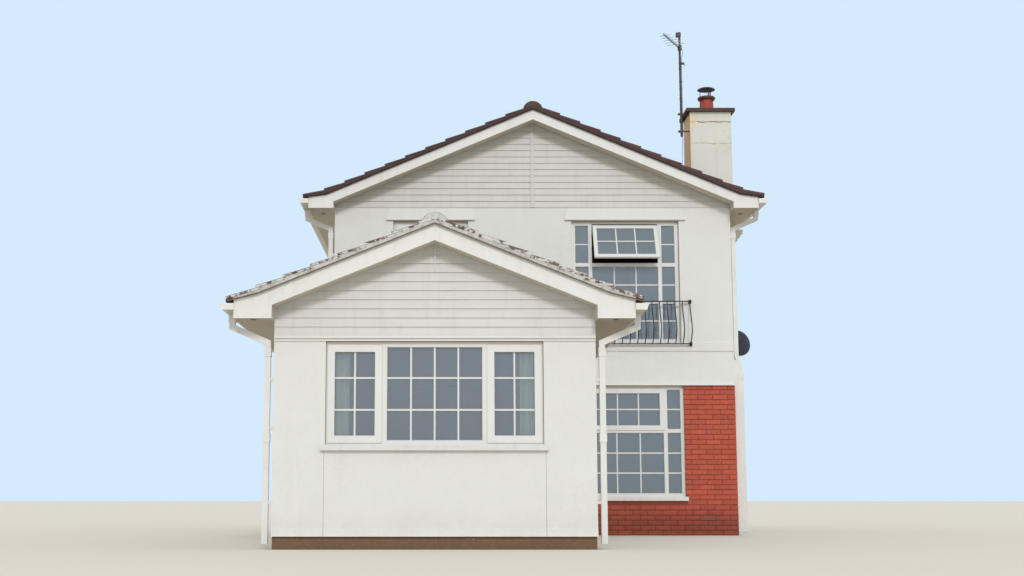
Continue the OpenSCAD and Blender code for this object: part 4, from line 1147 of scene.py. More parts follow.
    def finish(self, finish: Finish | GlassFinish, slot: Slot) -> Piece:
        """Ends the piece as an object that rides on the house.

        Args:
            finish: its material.
            slot: not used.

        Returns:
            The finished object.
        """
        bmesh.ops.recalc_face_normals(self.bm, faces=self.bm.faces[:])
        for edge in self.bm.edges:
            edge.smooth = len(edge.link_faces) == 2 and edge.calc_face_angle(0.0) < SHARP_EDGE
        for face in self.bm.faces:
            face.smooth = True
        mesh = bpy.data.meshes.new(self.name)
        self.bm.to_mesh(mesh)
        self.bm.free()
        mesh.materials.append(finish.material())
        piece = bpy.data.objects.new(self.name, mesh)
        bpy.context.scene.collection.objects.link(piece)
        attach(piece, BODY)
        LOG.info("%s: %d faces", self.name, len(mesh.polygons))
        return piece


@dataclass
class RoofCover:
    """Tiles and ridge tiles of one block, laid on its stepped slopes."""

    name: str
    form: RoofForm
    finish: Finish
    slot: Slot
    undercloak: Finish
    gap: Four | None = None
    cover: float = 0.300
    roll_height: float = 0.024
    roll_width: float = 0.066
    roll_marks: Point = (0.36, 0.86)
    roll_steps: int = 6
    roll_fullness: float = 0.8
    pan: float = 0.004
    side_gap: float = 0.002
    body: float = 0.016
    head_lap: float = 0.020
    tail_over: float = 0.004
    lift_play: float = 0.0025
    slip_play: float = 0.003
    verge_out: float = 0.007
    ridge_unit: float = 0.440
    ridge_wall: float = 0.014
    ridge_over: float = 0.004
    ridge_front: float = 0.003
    ridge_gap: float = 0.010
    ridge_foot: float = 14.0
    ridge_steps: int = 14
    ridge_twist: float = 0.004
    ridge_tip: float = 0.006

    def tile_unit(self, width: float) -> Mesh:
        """Builds one tile, a metre long from head to tail, with two rolls.

        Args:
            width: covering width of the tile.

        Returns:
            The tile's mesh: X across, Y down the slope, Z up.
        """
        line = [(0.0, self.pan)]
        for mark in self.roll_marks:
            for i in range(self.roll_steps + 1):
                angle = math.pi * i / self.roll_steps
                line.append((width * mark - self.roll_width / 2 * math.cos(angle),
                             self.pan + self.roll_height * math.sin(angle) ** self.roll_fullness))
        edge = width - self.side_gap
        line += [(edge, self.pan), (edge, -self.body), (0.0, -self.body)]
        tile = Workpiece(f"{self.name}_tile")
        tile.prism([Vector((x, 0.0, z)) for x, z in line], Vector((0.0, 1.0, 0.0)))
        return tile.unit()

    def lay_slope(self, side: Side) -> Piece:
        """Lays the tiles of one slope.

        Args:
            side: the side of the ridge line.

        Returns:
            The finished slope of tiles.
        """
        draw = random.Random(DRAW_SEED + side.value)
        low_y, high_y = self.form.front_y - self.verge_out, self.form.rear_y + self.verge_out
        across = round((high_y - low_y) / self.cover)
        width = (high_y - low_y) / across
        unit = self.tile_unit(width)
        cover = Workpiece(f"{self.name}_{side.name.lower()}_tiles")
        for head, tail in self.form.courses():
            fall = Vector((side.value * (tail[0] - head[0]), 0.0, tail[1] - head[1]))
            down = fall.normalized()
            lift = Vector((-down.z * side.value, 0.0, down.x * side.value))
            sideways = down.cross(lift)
            start = Vector((self.form.ridge_x + side.value * head[0], 0.0, head[1]))
            start -= down * self.head_lap
            length = fall.length + self.head_lap + self.tail_over
            for i in range(across):
                y = low_y + i * width if side is Side.LEFT else high_y - i * width
                if self.is_covered(start, fall, y, sideways.y * width, side):
                    continue
                origin = start + Vector((0.0, y, 0.0)) + lift * draw.uniform(0.0, self.lift_play)
                origin += down * draw.uniform(-self.slip_play, self.slip_play)
                axes = Matrix((sideways, down * length, lift)).transposed().to_4x4()
                cover.stamp(unit, Matrix.Translation(origin) @ axes, draw.random())
        return cover.finish(self.finish, self.slot)

    def is_covered(self, start: Vector, fall: Vector, y: float, width: float, side: Side) -> bool:
        """Says whether a tile lies wholly where the chimney stack passes through.

        Args:
            start: the tile's head.
            fall: from its head to its tail.
            y: one side of the tile.
            width: from that side to the other.
            side: the side of the ridge line.

        Returns:
            True where the tile is left out.
        """
        if self.gap is None or side is Side.LEFT:
            return False
        x0, x1, y0, y1 = self.gap
        near, far = sorted((y, y + width))
        return start.x > x0 and start.x + fall.x < x1 and near > y0 and far < y1

    def lay_ridge(self) -> Piece:
        """Lays half-round ridge tiles end to end, with a gap for the mortar between them.

        Returns:
            The finished ridge tiles.
        """
        draw = random.Random(DRAW_SEED + 7)
        form = self.form
        radius = form.ridge_radius + self.ridge_over
        middle = form.ridge_top - form.ridge_radius
        first = form.front_y - self.ridge_front
        count = round((form.rear_y - first) / self.ridge_unit)
        pitch = (form.rear_y - first) / count
        ridge = Workpiece(f"{self.name}_ridge_tiles")
        foot = math.radians(self.ridge_foot)
        arc = [foot + (math.pi - 2 * foot) * k / self.ridge_steps for k in range(self.ridge_steps + 1)]
        for i in range(count):
            y = first + i * pitch + self.ridge_gap / 2
            line = [Vector((form.ridge_x + radius * math.cos(a), y, middle + radius * math.sin(a)))
                    for a in arc]
            verts = ridge.sheet(line, Vector((0.0, pitch - self.ridge_gap, 0.0)), self.ridge_wall)
            ridge.shade(verts, draw.random())
            twist = Matrix.Rotation(draw.uniform(-self.ridge_twist, self.ridge_twist), 4, "Z")
            tilt = twist @ Matrix.Rotation(draw.uniform(-self.ridge_tip, self.ridge_tip), 4, "X")
            centre = Matrix.Translation((form.ridge_x, first + (i + 0.5) * pitch, middle))
            bmesh.ops.transform(ridge.bm, matrix=centre @ tilt @ centre.inverted(), verts=verts)
        return ridge.finish(Finishes.RIDGE, Slot.RIDGE)

    def lay_undercloak(self) -> None:
        """Lays the thin strip that shows under the tiles along the front verge."""
        form, strip = self.form, Workpiece(f"{self.name}_undercloak")
        marks = (0.0, form.half_width + form.kick_out, form.tail_x)
        for side in Side:
            low = [(x, form.under(x) + 0.001) for x in marks]
            outline = low + [(x, z + 0.014) for x, z in reversed(low)]
            points = [Vector((form.ridge_x + side.value * x, form.front_y - 0.006, z))
                      for x, z in outline]
            strip.prism(points, Vector((0.0, 0.008, 0.0)))
        strip.finish(self.undercloak, self.slot)

    def build(self) -> None:
        """Lays both slopes, the ridge and the undercloak."""
        self.lay_slope(Side.LEFT)
        self.lay_slope(Side.RIGHT)
        self.lay_ridge()
        self.lay_undercloak()


@dataclass
class Brickwork:
    """Stretcher-bond brick faces on the bare part of the front wall."""

    left: float = 0.337
    right: float = 3.040
    top: float = 2.240
    face_y: float = -3.800
    window: Four = (0.575, 2.265, 0.560, 2.240)
    sill: Four = (0.5525, 2.2875, 0.512, 0.572)
    brick: float = 0.225
    course: float = 0.075
    joint: float = 0.010
    side_joint: float = 0.005
    proud: float = 0.005
    arris: float = 0.004
    clear: float = 0.002
    smallest: float = 0.02
    root: float = 0.012
    corner_ends: tuple[tuple[float, ...], ...] = ((0.0, 0.1075, 0.300), (0.0, 0.2200, 0.300))

    def spans(self, start: float, end: float, low: float, high: float) -> list[Point]:
        """Returns what is left of a brick beside the window and its sill.

        Args:
            start: the brick's left end.
            end: its right end.
            low: its foot.
            high: its top.

        Returns:
            Each remaining length as its two ends.
        """
        parts = [(max(start, self.left), min(end, self.right))]
        for x0, x1, z0, z1 in (self.window, self.sill):
            if high <= z0 or low >= z1:
                continue
            parts = [p for a, b in parts
                     for p in ((a, min(b, x0 - self.clear)), (max(a, x1 + self.clear), b))]
        return [(a, b) for a, b in parts if b - a > self.smallest]

    def build(self) -> Piece:
        """Lays the courses from the ground up to the render.

        Returns:
            The finished bricks.
        """
        draw = random.Random(DRAW_SEED)
        wall = Workpiece("front_bricks")
        rows = math.ceil(self.top / self.course)
        for row in range(rows):
            low = row * self.course + self.joint / 2
            high = min(low + self.course - self.joint, self.top - 0.003)
            shift = -self.brick / 2 if row % 2 else 0.0
            count = math.ceil((self.right - self.left - shift) / self.brick)
            for i in range(count):
                start = self.right - shift - (i + 1) * self.brick
                for a, b in self.spans(start, start + self.brick - self.side_joint, low, high):
                    out = self.proud + draw.uniform(-0.0015, 0.0020)
                    wobble = [draw.uniform(-0.0012, 0.0012) for _ in range(4)]
                    wall.box((a + wobble[0], self.face_y - out, low + wobble[1]),
                             (b + wobble[2], self.face_y + self.root, high + wobble[3]),
                             self.arris, tone=draw.random())
            ends = self.corner_ends[row % 2]
            for a, b in zip(ends, ends[1:]):
                wall.box((self.right - self.root, self.face_y + a + (0.0 if a else -self.proud), low),
                         (self.right + self.proud, self.face_y + b - self.joint, high), self.arris,
                         tone=draw.random())
        return wall.finish(Finishes.BRICK, Slot.BRICK)


@dataclass(frozen=True)
class Light:
    """One light of a window, inside its frame, from the window's lower left corner.

    Where it opens, laps tells how far its sash lies over the frame: left, right, foot and head.
    """

    x0: float
    x1: float
    z0: float
    z1: float
    columns: int
    rows: int
    laps: Four | None = None
    row_marks: tuple[float, ...] = ()


@dataclass
class Window:
    """Sashes, beads, gaskets and bars of one window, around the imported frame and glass."""

    name: str
    corner: Place
    size: Point
    lights: list[Light]
    rear: bool = False
    depth: float = 0.070
    glass: float = 0.024
    bar: float = 0.020
    bead: float = 0.005
    bar_front: float = 0.007
    bar_rear: float = 0.006
    lap: float = 0.002
    inset: float = 0.0004
    sash_face: float = 0.076
    sash_proud: float = 0.014

    @property
    def glass_front(self) -> float:
        """Depth of the glass behind the frame's face."""
        return (self.depth - self.glass) / 2

    def sight(self, light: Light) -> Four:
        """Returns the visible glass of a light, inside its sash or beads.

        Args:
            light: the light.

        Returns:
            Its left, right, foot and head.
        """
        trims = [self.sash_face - lap for lap in light.laps] if light.laps else 4 * [self.bead]
        left, right, foot, head = trims
        return light.x0 + left, light.x1 - right, light.z0 + foot, light.z1 - head

    def add_bars(self, bars: Workpiece, light: Light) -> None:
        """Adds the glazing bars of one light on both faces of its glass.

        Args:
            bars: the piece that takes them.
            light: the light.
        """
        x0, x1, z0, z1 = self.sight(light)
        half = self.bar / 2
        marks = light.row_marks or tuple(z0 + (z1 - z0) * i / light.rows for i in range(1, light.rows))
        front, back = self.glass_front, self.glass_front + self.glass
        for near, far in ((front - self.bar_front, front), (back, back + self.bar_rear)):
            for i in range(1, light.columns):
                x = x0 + (x1 - x0) * i / light.columns
                bars.box((x - half, near, z0 - self.lap), (x + half, far, z1 + self.lap), 0.002)
            for z in marks:
                bars.box((x0 - self.lap, near + self.inset, z - half),
                         (x1 + self.lap, far - self.inset, z + half), 0.002)

    def build(self) -> None:
        """Builds the window's bars, trims, gaskets and sealant as four pieces."""
        bars = Workpiece(f"{self.name}_bars")
        trims = Workpiece(f"{self.name}_sashes_and_beads")
        gaskets = Workpiece(f"{self.name}_gaskets")
        for light in self.lights:
            self.add_bars(bars, light)
            x0, x1, z0, z1 = self.sight(light)
            if light.laps:
                left, right, foot, head = light.laps
                trims.border(light.x0 - left, light.x1 + right, light.z0 - foot, light.z1 + head,
                             -self.sash_proud, self.glass_front - self.lap, self.sash_face, 0.005)
            else:
                trims.border(light.x0 + 0.0005, light.x1 - 0.0005, light.z0 + 0.0005, light.z1 - 0.0005,
                             0.010, self.glass_front - self.lap, self.bead, 0.002)
            gaskets.border(x0 - self.lap, x1 + self.lap, z0 - self.lap, z1 + self.lap,
                           self.glass_front - self.lap, self.glass_front - 0.0003, 0.005)
        place = Matrix.Translation(self.corner)
        if self.rear:
            place = place @ Matrix.Rotation(math.pi, 4, "Z")
        sealant = Workpiece(f"{self.name}_sealant")
        sealant.border(0.0, self.size[0], 0.0, self.size[1], -0.003, 0.0, 0.007, 0.002)
        for piece, finish in ((bars, Finishes.FRAME), (trims, Finishes.FRAME),
                              (gaskets, Finishes.RUBBER), (sealant, Finishes.SEALANT)):
            piece.turn(place)
            piece.finish(finish, Slot.FRAME)


@dataclass
class OpenVent:
    """The top-hung vent that stands open over the transom of the upper window."""

    hinge: Place = (0.923, -3.755, 4.692)
    width: float = 0.994
    height: float = 0.615
    thickness: float = 0.042
    face: float = 0.060
    angle: float = 28.0
    bar: float = 0.020

    def build(self) -> None:
        """Builds the sash, its glass, bars and stays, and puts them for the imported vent."""
        place = Matrix.Translation(self.hinge) @ Matrix.Rotation(-math.radians(self.angle), 4, "X")
        sash = Workpiece("open_vent_sash")
        glass = Workpiece("open_vent_glass")
        bars = Workpiece("open_vent_bars")
        sash.border(0.0, self.width, -self.height, 0.0, -self.thickness, 0.0, self.face, 0.006)
        pane_front, pane_back = -self.thickness * 0.62, -self.thickness * 0.25
        inset = self.face - 0.004
        glass.box((inset, pane_front, inset - self.height), (self.width - inset, pane_back, -inset))
        light_w, light_h = self.width - 2 * self.face, self.height - 2 * self.face
        for near, far in ((pane_front - 0.006, pane_front), (pane_back, pane_back + 0.005)):
            for i in (1, 2):
                x = self.face + light_w * i / 3
                bars.box((x - self.bar / 2, near, self.face - self.height),
                         (x + self.bar / 2, far, -self.face), 0.002)
            z = -self.face - light_h / 2
            bars.box((self.face, near + 0.0004, z - self.bar / 2),
                     (self.width - self.face, far - 0.0004, z + self.bar / 2), 0.002)
        for piece, finish, slot in ((sash, Finishes.FRAME, Slot.FRAME),
                                    (glass, Finishes.GLASS, Slot.GLASS),
                                    (bars, Finishes.FRAME, Slot.FRAME)):
            piece.turn(place)
            made = piece.finish(finish, slot)
            if piece is sash:
                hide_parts("upper_window_vent")
        # A dark rubber strip at the frame head over the sash: a real seal, kept dark also as painted
        # shade of the gap above the sash.
        seal = Workpiece("open_vent_head_seal")
        x, y, z = self.hinge
        seal.box((x - 0.009, y - 0.003, z + 0.0205), (x + self.width + 0.009, y, z + 0.040), 0.001)
        seal.finish(Finishes.RUBBER, Slot.FRAME)
        self.build_stays(place)

    def build_stays(self, place: Matrix) -> None:
        """Adds the stay on each side of the sash, with its pivot on the frame and on the sash.

        Args:
            place: from the sash's own place to the open one.
        """
        stays = Workpiece("open_vent_stays")
        for x in (-0.0045, self.width + 0.0045):
            on_sash = place @ Vector((x, -self.thickness / 2, -0.180))
            on_frame = Vector((self.hinge[0] + x, self.hinge[1] + 0.0233, self.hinge[2] - 0.008))
            stays.rod(on_frame, on_sash, 0.0042, 8)
            for end in (on_sash, on_frame):
                stays.rod(end - Vector((0.0045, 0.0, 0.0)), end + Vector((0.0045, 0.0, 0.0)), 0.008, 12)
        stays.finish(Finishes.LEAD, Slot.METAL)


@dataclass
class Rainwater:
    """Brackets on the gutters and the small fittings of the soffits."""

    form: RoofForm
    name: str
    first_y: float
    last_y: float
    vent_y: float
    spacing: float = 0.95
    strap: float = 0.028
    wall: float = 0.003
    vent_radius: float = 0.032

    def gutter_line(self, grow: float) -> list[Point]:
        """Returns the square-line outline of the gutter, from its foot at the fascia to its front lip.

        Args:
            grow: how far the line lies outside the gutter.

        Returns:
            Points as distance from the fascia and height over the gutter's underside.
        """
        width, height, foot = self.form.gutter_width, self.form.gutter_height, self.form.gutter_foot
        return [(0.0, -grow), (foot + grow / 2, -grow), (width - 0.006 + grow, height - 0.014),
                (width + grow, height - 0.013), (width + grow, height + grow),
                (width - 0.012, height + grow)]

    def build(self) -> None:
        """Builds the brackets of both gutters and the round vent in each soffit."""
        form = self.form
        brackets = Workpiece(f"{self.name}_gutter_brackets")
        vents = Workpiece(f"{self.name}_soffit_vents")
        count = max(2, round((self.last_y - self.first_y) / self.spacing))
        marks = [self.first_y + (self.last_y - self.first_y) * (i + 0.5) / count for i in range(count)]
        for side in Side:
            outer = [(form.fascia_x + x, form.gutter_z + z) for x, z in self.gutter_line(0.001)]
            for y in marks:
                line = [Vector((form.ridge_x + side.value * x, y - self.strap / 2, z)) for x, z in outer]
                brackets.sheet(line, Vector((0.0, self.strap, 0.0)), self.wall)
            x, y = form.ridge_x + side.value * (form.half_width + form.fascia_out * 0.5), self.vent_y
            low = form.box_z - 0.004
            vents.rod((x, y, low), (x, y, form.box_z + 0.002), self.vent_radius, 20)
            vents.rod((x, y, form.box_z - 0.007), (x, y, low), self.vent_radius * 0.72, 20)
        brackets.finish(Finishes.RAINWATER, Slot.RAINWATER)
        vents.finish(Finishes.VENT_GRILLE, Slot.DARK_METAL)


@dataclass
class Flashings:
    """Lead where the extension's roof meets the front wall, and round the chimney."""

    wall_y: float = -3.820
    upstand: float = 0.110
    thickness: float = 0.003
    wall_left: float = -3.040
    lead_step: float = 0.17
    tray: float = 0.13
    back_tilt: float = 12.0

    def strip(self, work: Workpiece, form: RoofForm, side: Side, near: float, far: float, y: float,
              way: float) -> None:
        """Adds one length of stepped flashing that follows the slope.

        Args:
            work: the piece that takes it.
            form: the roof that it lies on.
            side: the side of the ridge line.
            near: start of the length, as a distance from the ridge line.
            far: end of the length.
            y: the face that it lies against.
            way: -1 where the lead lies in front of that face, 1 behind it.
        """
        low_near, low_far = form.under(near) + form.bed, form.under(far) + form.bed
        outline = [(near, low_near + 0.01), (far, low_far + 0.01), (far, low_far + self.upstand),
                   (near, low_near + self.upstand + 0.02)]
        points = [Vector((form.ridge_x + side.value * x, y, z)) for x, z in outline]
        work.prism(points, Vector((0.0, way * self.thickness, 0.0)))

    def build(self) -> None:
        """Builds both pieces of leadwork."""
        junction = Workpiece("extension_flashing")
        form = EXTENSION_ROOF
        for side in Side:
            limit = form.tail_x - 0.02
            if side is Side.LEFT:
                limit = min(limit, form.ridge_x - self.wall_left)
            start = 0.10
            while start < limit - 0.05:
                end = min(start + form.gauge, limit)
                self.strip(junction, form, side, start, end + 0.03 if end < limit else end,
                           self.wall_y, -1.0)
                start += form.gauge
            lip = [Vector((form.ridge_x + side.value * x, self.wall_y - self.tray,
                           form.under(x) + form.bed + 0.048)) for x in (0.05, limit)]
            junction.sheet(lip, Vector((0.0, self.tray, 0.0)), self.thickness)
        junction.finish(Finishes.LEAD, Slot.METAL)
        self.dress_stack()

    def dress_stack(self) -> None:
        """Adds the stepped leads on the stack's front and rear and the gutter lead behind it."""
        x0, x1, y0, y1 = STACK
        leads = Workpiece("chimney_flashing")
        start = x0
        while start < x1 - 0.02:
            end = min(start + self.lead_step, x1)
            self.strip(leads, MAIN_ROOF, Side.RIGHT, start, end, y0, -1.0)
            self.strip(leads, MAIN_ROOF, Side.RIGHT, start, end, y1, 1.0)
            start += self.lead_step
        top = MAIN_ROOF.under(x0) + MAIN_ROOF.bed
        hinge = Matrix.Translation((x0, 0.0, top))
        leads.box((x0 - 0.004, y0 - 0.02, top), (x0, y1 + 0.02, top + 0.15), 0.001)
        leads.box((x0 - 0.16, y0 - 0.05, top + 0.030), (x0, y1 + 0.05, top + 0.034), 0.001,
                  hinge @ Matrix.Rotation(math.radians(self.back_tilt), 4, "Y") @ hinge.inverted())
        leads.finish(Finishes.LEAD, Slot.METAL)


@dataclass
class ChimneyTop:
    """Mortar round the pot's foot and the clamp on its neck."""

    pot: Place = (3.051, -2.015, 6.955)
    foot_radius: float = 0.118
    neck_radius: float = 0.112
    clamp_z: float = 7.150
    rough: float = 0.006
    bolts: int = 4

    def build(self) -> None:
        """Builds the mortar fillet and the cowl's clamp."""
        x, y, z = self.pot
        mortar = Workpiece("pot_flaunching")
        mortar.rod((x, y, z), (x, y, z + 0.035), self.foot_radius + 0.075, 24, self.foot_radius + 0.004)
        draw = random.Random(DRAW_SEED)
        for vert in mortar.bm.verts:
            vert.co.x += draw.uniform(-self.rough, self.rough)
            vert.co.y += draw.uniform(-self.rough, self.rough)
        mortar.finish(Finishes.CAP, Slot.CAP)
        clamp = Workpiece("cowl_clamp")
        for i in range(self.bolts):
            angle = math.tau * (i + 0.5) / self.bolts
            out = Vector((math.cos(angle), math.sin(angle), 0.0))
            foot = Vector((x, y, self.clamp_z)) + out * (self.neck_radius + 0.001)
            clamp.rod(foot, foot + out * 0.022, 0.006, 8)
            clamp.rod(foot + out * 0.004, foot + out * 0.004 + Vector((0.0, 0.0, 0.035)), 0.004, 6)
        clamp.finish(Finishes.MAST, Slot.METAL)


@dataclass
class Aerials:
    """Fittings of the television aerial and the dish."""

    mast: Point = (2.583, -2.250)
    top_z: float = 8.300
    boom_z: float = 8.030
    joint_box_z: float = 7.758
    bracket_z: Point = (6.574, 6.869)
    tape_z: tuple[float, ...] = (7.967, 7.767, 7.664, 7.448, 7.318, 7.155, 6.967)
    cable_radius: float = 0.0035
    dish: Place = (3.194, -3.300, 2.925)
    plate_x: float = 3.040

    def build(self) -> None:
        """Builds the mast's clamps, joint box and cable, and the dish's arm and receiver."""
        x, y = self.mast
        fittings = Workpiece("aerial_fittings")
        top, boom, joint = self.top_z, self.boom_z, self.joint_box_z
        fittings.box((x - 0.060, y - 0.030, top - 0.085), (x + 0.022, y + 0.030, top - 0.010), 0.006)
        fittings.box((x - 0.030, y - 0.034, boom - 0.040), (x + 0.030, y + 0.034, boom + 0.040), 0.006)
        fittings.box((x + 0.012, y - 0.018, joint - 0.016),
                     (x + 0.072, y + 0.018, joint + 0.016), 0.004)
        fittings.rod((x + 0.066, y, joint), (x + 0.080, y, joint - 0.036), 0.006, 8)
        for z in self.bracket_z:
            fittings.box((x - 0.050, y - 0.024, z), (x + 0.030, y + 0.024, z + 0.032), 0.003)
            for side in (-0.016, 0.016):
                fittings.rod((x - 0.060, y + side, z + 0.016),
                             (x + 0.035, y + side, z + 0.016), 0.005, 6)
        for z in self.tape_z:
            fittings.rod((x, y, z - 0.008), (x, y, z + 0.008), 0.0225, 14)
        fittings.finish(Finishes.MAST, Slot.METAL)
        self.build_cable()
        self.build_dish_arm()

    def build_cable(self) -> None:
        """Adds the thin cable that is taped to the mast and enters at the roof."""
        x, y = self.mast
        cable = Workpiece("aerial_cable")
        points = [(x + 0.026, y - 0.02, 8.03), (x + 0.044, y - 0.022, 7.97),
                  (x + 0.044, y - 0.022, 7.91), (x + 0.024, y - 0.020, 7.85),
                  (x + 0.022, y - 0.012, 6.60), (x + 0.01, y - 0.02, 6.45), (x - 0.002, y - 0.01, 5.52)]
        for a, b in zip(points, points[1:]):
            cable.rod(a, b, self.cable_radius, 6)
            cable.ball(b, self.cable_radius)
        cable.finish(Finishes.COWL, Slot.DARK_METAL)

    def build_dish_arm(self) -> None:
        """Adds the dish's feed arm and receiver, and the wall plate with its bolts."""
        vertex = Vector(self.dish)
        axis, down = Vector((0.6645, 0.6645, 0.342)), Vector((0.2418, 0.2418, -0.9397))
        arm = Workpiece("dish_arm")
        rim = vertex + down * 0.19 + axis * 0.046
        focus = vertex + axis * 0.230 + down * 0.070
        arm.rod(rim, focus, 0.009, 10)
        arm.rod(focus + axis * 0.02, focus - axis * 0.055, 0.020, 14, 0.027)
        arm.rod(focus + axis * 0.02, focus + axis * 0.060, 0.022, 14)
        face = self.plate_x + 0.006
        arm.box((self.plate_x, -3.390, 2.845), (face, -3.270, 2.965), 0.002)
        for y in (-3.375, -3.285):
            for z in (2.860, 2.950):
                arm.rod((face, y, z), (face + 0.008, y, z), 0.008, 6)
        arm.finish(Finishes.DISH, Slot.DISH)


@dataclass
class Railing:
    """Ball ends and wall plates of the railing."""

    x0: float = 0.418
    x1: float = 2.378
    low: float = 2.865
    high: float = 3.513
    rail_y: float = -3.890
    wall_y: float = -3.820
    band_y: float = -3.835

    def build(self) -> None:
        """Builds the four ball ends and the plates on the wall."""
        ends = Workpiece("railing_ball_ends")
        for x in (self.x0 - 0.010, self.x1 + 0.010):
            for z in (self.low, self.high):
                wall_y = self.band_y if z == self.low else self.wall_y
                ends.ball((x, self.rail_y - 0.004, z), 0.017, 1.6)
                ends.box((x - 0.020, wall_y - 0.006, z - 0.032), (x + 0.020, wall_y, z + 0.032), 0.002)
        ends.finish(Finishes.IRON, Slot.IRON)


@dataclass
class Doorway:
    """Panels and handle of the side door."""

    face_x: float = -2.985
    y0: float = -0.745
    y1: float = 0.075
    foot: float = 0.150
    head: float = 2.125
    stile: float = 0.10

    def build(self) -> None:
        """Builds the raised panels and a lever handle."""
        x = self.face_x
        panels = Workpiece("door_panels")
        width = (self.y1 - self.y0 - 3 * self.stile) / 2
        for low, high in ((self.foot + 0.18, self.foot + 0.86), (self.foot + 1.06, self.head - 0.14)):
            for i in (0, 1):
                start = self.y0 + self.stile + i * (width + self.stile)
                panels.box((x - 0.010, start, low), (x, start + width, high), 0.009)
                panels.box((x - 0.017, start + 0.045, low + 0.045),
                           (x - 0.006, start + width - 0.045, high - 0.045), 0.006)
        panels.finish(Finishes.DOOR, Slot.DOOR)
        handle = Workpiece("door_handle")
        y, z = self.y0 + 0.055, self.foot + 1.0
        handle.box((x - 0.008, y - 0.018, z - 0.11), (x, y + 0.018, z + 0.11), 0.004)
        handle.rod((x - 0.008, y, z + 0.04), (x - 0.050, y, z + 0.04), 0.009, 12)
        handle.rod((x - 0.046, y - 0.008, z + 0.04), (x - 0.046, y + 0.115, z + 0.04), 0.009, 12)
        handle.rod((x - 0.010, y, z - 0.055), (x - 0.004, y, z - 0.055), 0.007, 10)
        handle.finish(Finishes.LEAD, Slot.METAL)


@dataclass
class WallFittings:
    """The air brick low in the brickwork."""

    middle: Point = (2.62, 0.262)
    face_y: float = -3.805
    slots: int = 9
    slot_pitch: float = 0.024

    def build(self) -> None:
        """Builds the air brick with its slots."""
        x, z = self.middle
        vent = Workpiece("air_brick")
        front, back = self.face_y - 0.004, self.face_y + 0.006
        vent.border(x - 0.107, x + 0.107, z - 0.033, z + 0.033, front, back, 0.008, 0.002)
        for i in range(self.slots):
            at = x + (i - (self.slots - 1) / 2) * self.slot_pitch
            vent.box((at - 0.004, self.face_y - 0.001, z - 0.026), (at + 0.004, back, z + 0.026), 0.001)
        vent.finish(Finishes.VENT_GRILLE, Slot.DARK_METAL)


@dataclass
class Curtains:
    """The pale curtains that hang at both ends of the extension's window."""

    rail: Place = (-9.895, 2.205, 0.008)
    rail_ends: Point = (-2.6175, -0.2525)
    drops: tuple[Point, ...] = ((-2.600, -2.365), (-0.505, -0.270))
    foot: float = 1.125
    folds: int = 4
    fold_depth: float = 0.020
    top_depth: float = 0.65
    fold_steps: int = 12
    rows: int = 10

    def hang(self, name: str, x0: float, x1: float) -> None:
        """Hangs one curtain with regular folds that open towards its foot.

        Args:
            name: the piece's name.
            x0: its left end.
            x1: its right end.
        """
        y, top, _ = self.rail
        curtain = Workpiece(name)
        steps = self.folds * self.fold_steps
        place = upright(((x0 + x1) / 2, y, (self.foot + top) / 2), x1 - x0, top - self.foot)
        bmesh.ops.create_grid(curtain.bm, x_segments=steps, y_segments=self.rows, size=0.5,
                              matrix=place, calc_uvs=True)
        for vert in curtain.bm.verts:
            share = (vert.co.x - x0) / (x1 - x0)
            drop = (top - vert.co.z) / (top - self.foot)
            depth = self.fold_depth * (self.top_depth + (1.0 - self.top_depth) * drop)
            vert.co.y += depth * math.sin(2 * math.pi * self.folds * share + 0.5 * math.sin(3 * drop))
        made = curtain.finish(Finishes.CURTAIN, Slot.CONCRETE)

    def build(self) -> None:
        """Builds the rail and both curtains."""
        y, z, radius = self.rail
        rail = Workpiece("curtain_rail")
        start, end = self.rail_ends
        rail.rod((start, y, z + radius), (end, y, z + radius), radius, 12)
        rail.finish(Finishes.FRAME, Slot.FRAME)
        for index, (x0, x1) in enumerate(self.drops):
            self.hang(f"curtain_{index + 1}", x0, x1)


class CadFinishes:
    """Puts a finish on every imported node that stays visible."""

    TABLE = {
        Finishes.FRONT: ("front_wall_upper", "extension_front_wall", "window_head_mouldings"),
        Finishes.SIDE: ("rear_wall", "left_wall", "right_wall", "extension_left_wall",
                        "extension_right_wall"),
        Finishes.BRICK_JOINT: ("front_wall_lower",),
        Finishes.MAIN_BOARDING: ("front_gable", "rear_gable"),
        Finishes.EXTENSION_BOARDING: ("extension_gable",),
        Finishes.MAIN_VERGE: ("main_roof_left", "main_roof_right"),
        Finishes.MORTAR_VERGE: ("extension_roof_left", "extension_roof_right", "extension_ridge"),
        Finishes.RIDGE: ("main_ridge",),
        Finishes.BOARD: ("main_bargeboards", "main_eaves", "extension_bargeboards", "extension_eaves"),
        Finishes.RAINWATER: ("gutters", "downpipes"),
        Finishes.CHIMNEY: ("chimney_stack",),
        Finishes.CAP: ("chimney_cap",),
        Finishes.POT: ("chimney_pot",),
        Finishes.COWL: ("chimney_cowl",),
        Finishes.MAST: ("television_aerial",),
        Finishes.DISH: ("satellite_dish",),
        Finishes.PLINTH: ("extension_plinth",),
        Finishes.FRAME: ("extension_window_frame", "lower_window_frame", "upper_window_frames",
                         "rear_windows"),
        Finishes.SILL: ("window_sills",),
        Finishes.GLASS: ("main_front_glass",),
        Finishes.EXTENSION_GLASS: ("extension_glass",),
        Finishes.REAR_GLASS: ("rear_glass",),
        Finishes.IRON: ("balcony_railing",),
        Finishes.DOOR: ("entrance_door",),
        Finishes.CONCRETE: ("main_floor_slab", "extension_floor_slab"),
        Finishes.FLOOR: ("first_floor",),
    }

    def apply(self) -> None:
        """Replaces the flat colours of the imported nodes."""
        for finish, nodes in self.TABLE.items():
            for node in nodes:
                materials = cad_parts[node].data.materials
                materials.clear()
                materials.append(finish.material())
                LOG.info("%s takes %s", node, finish.name)


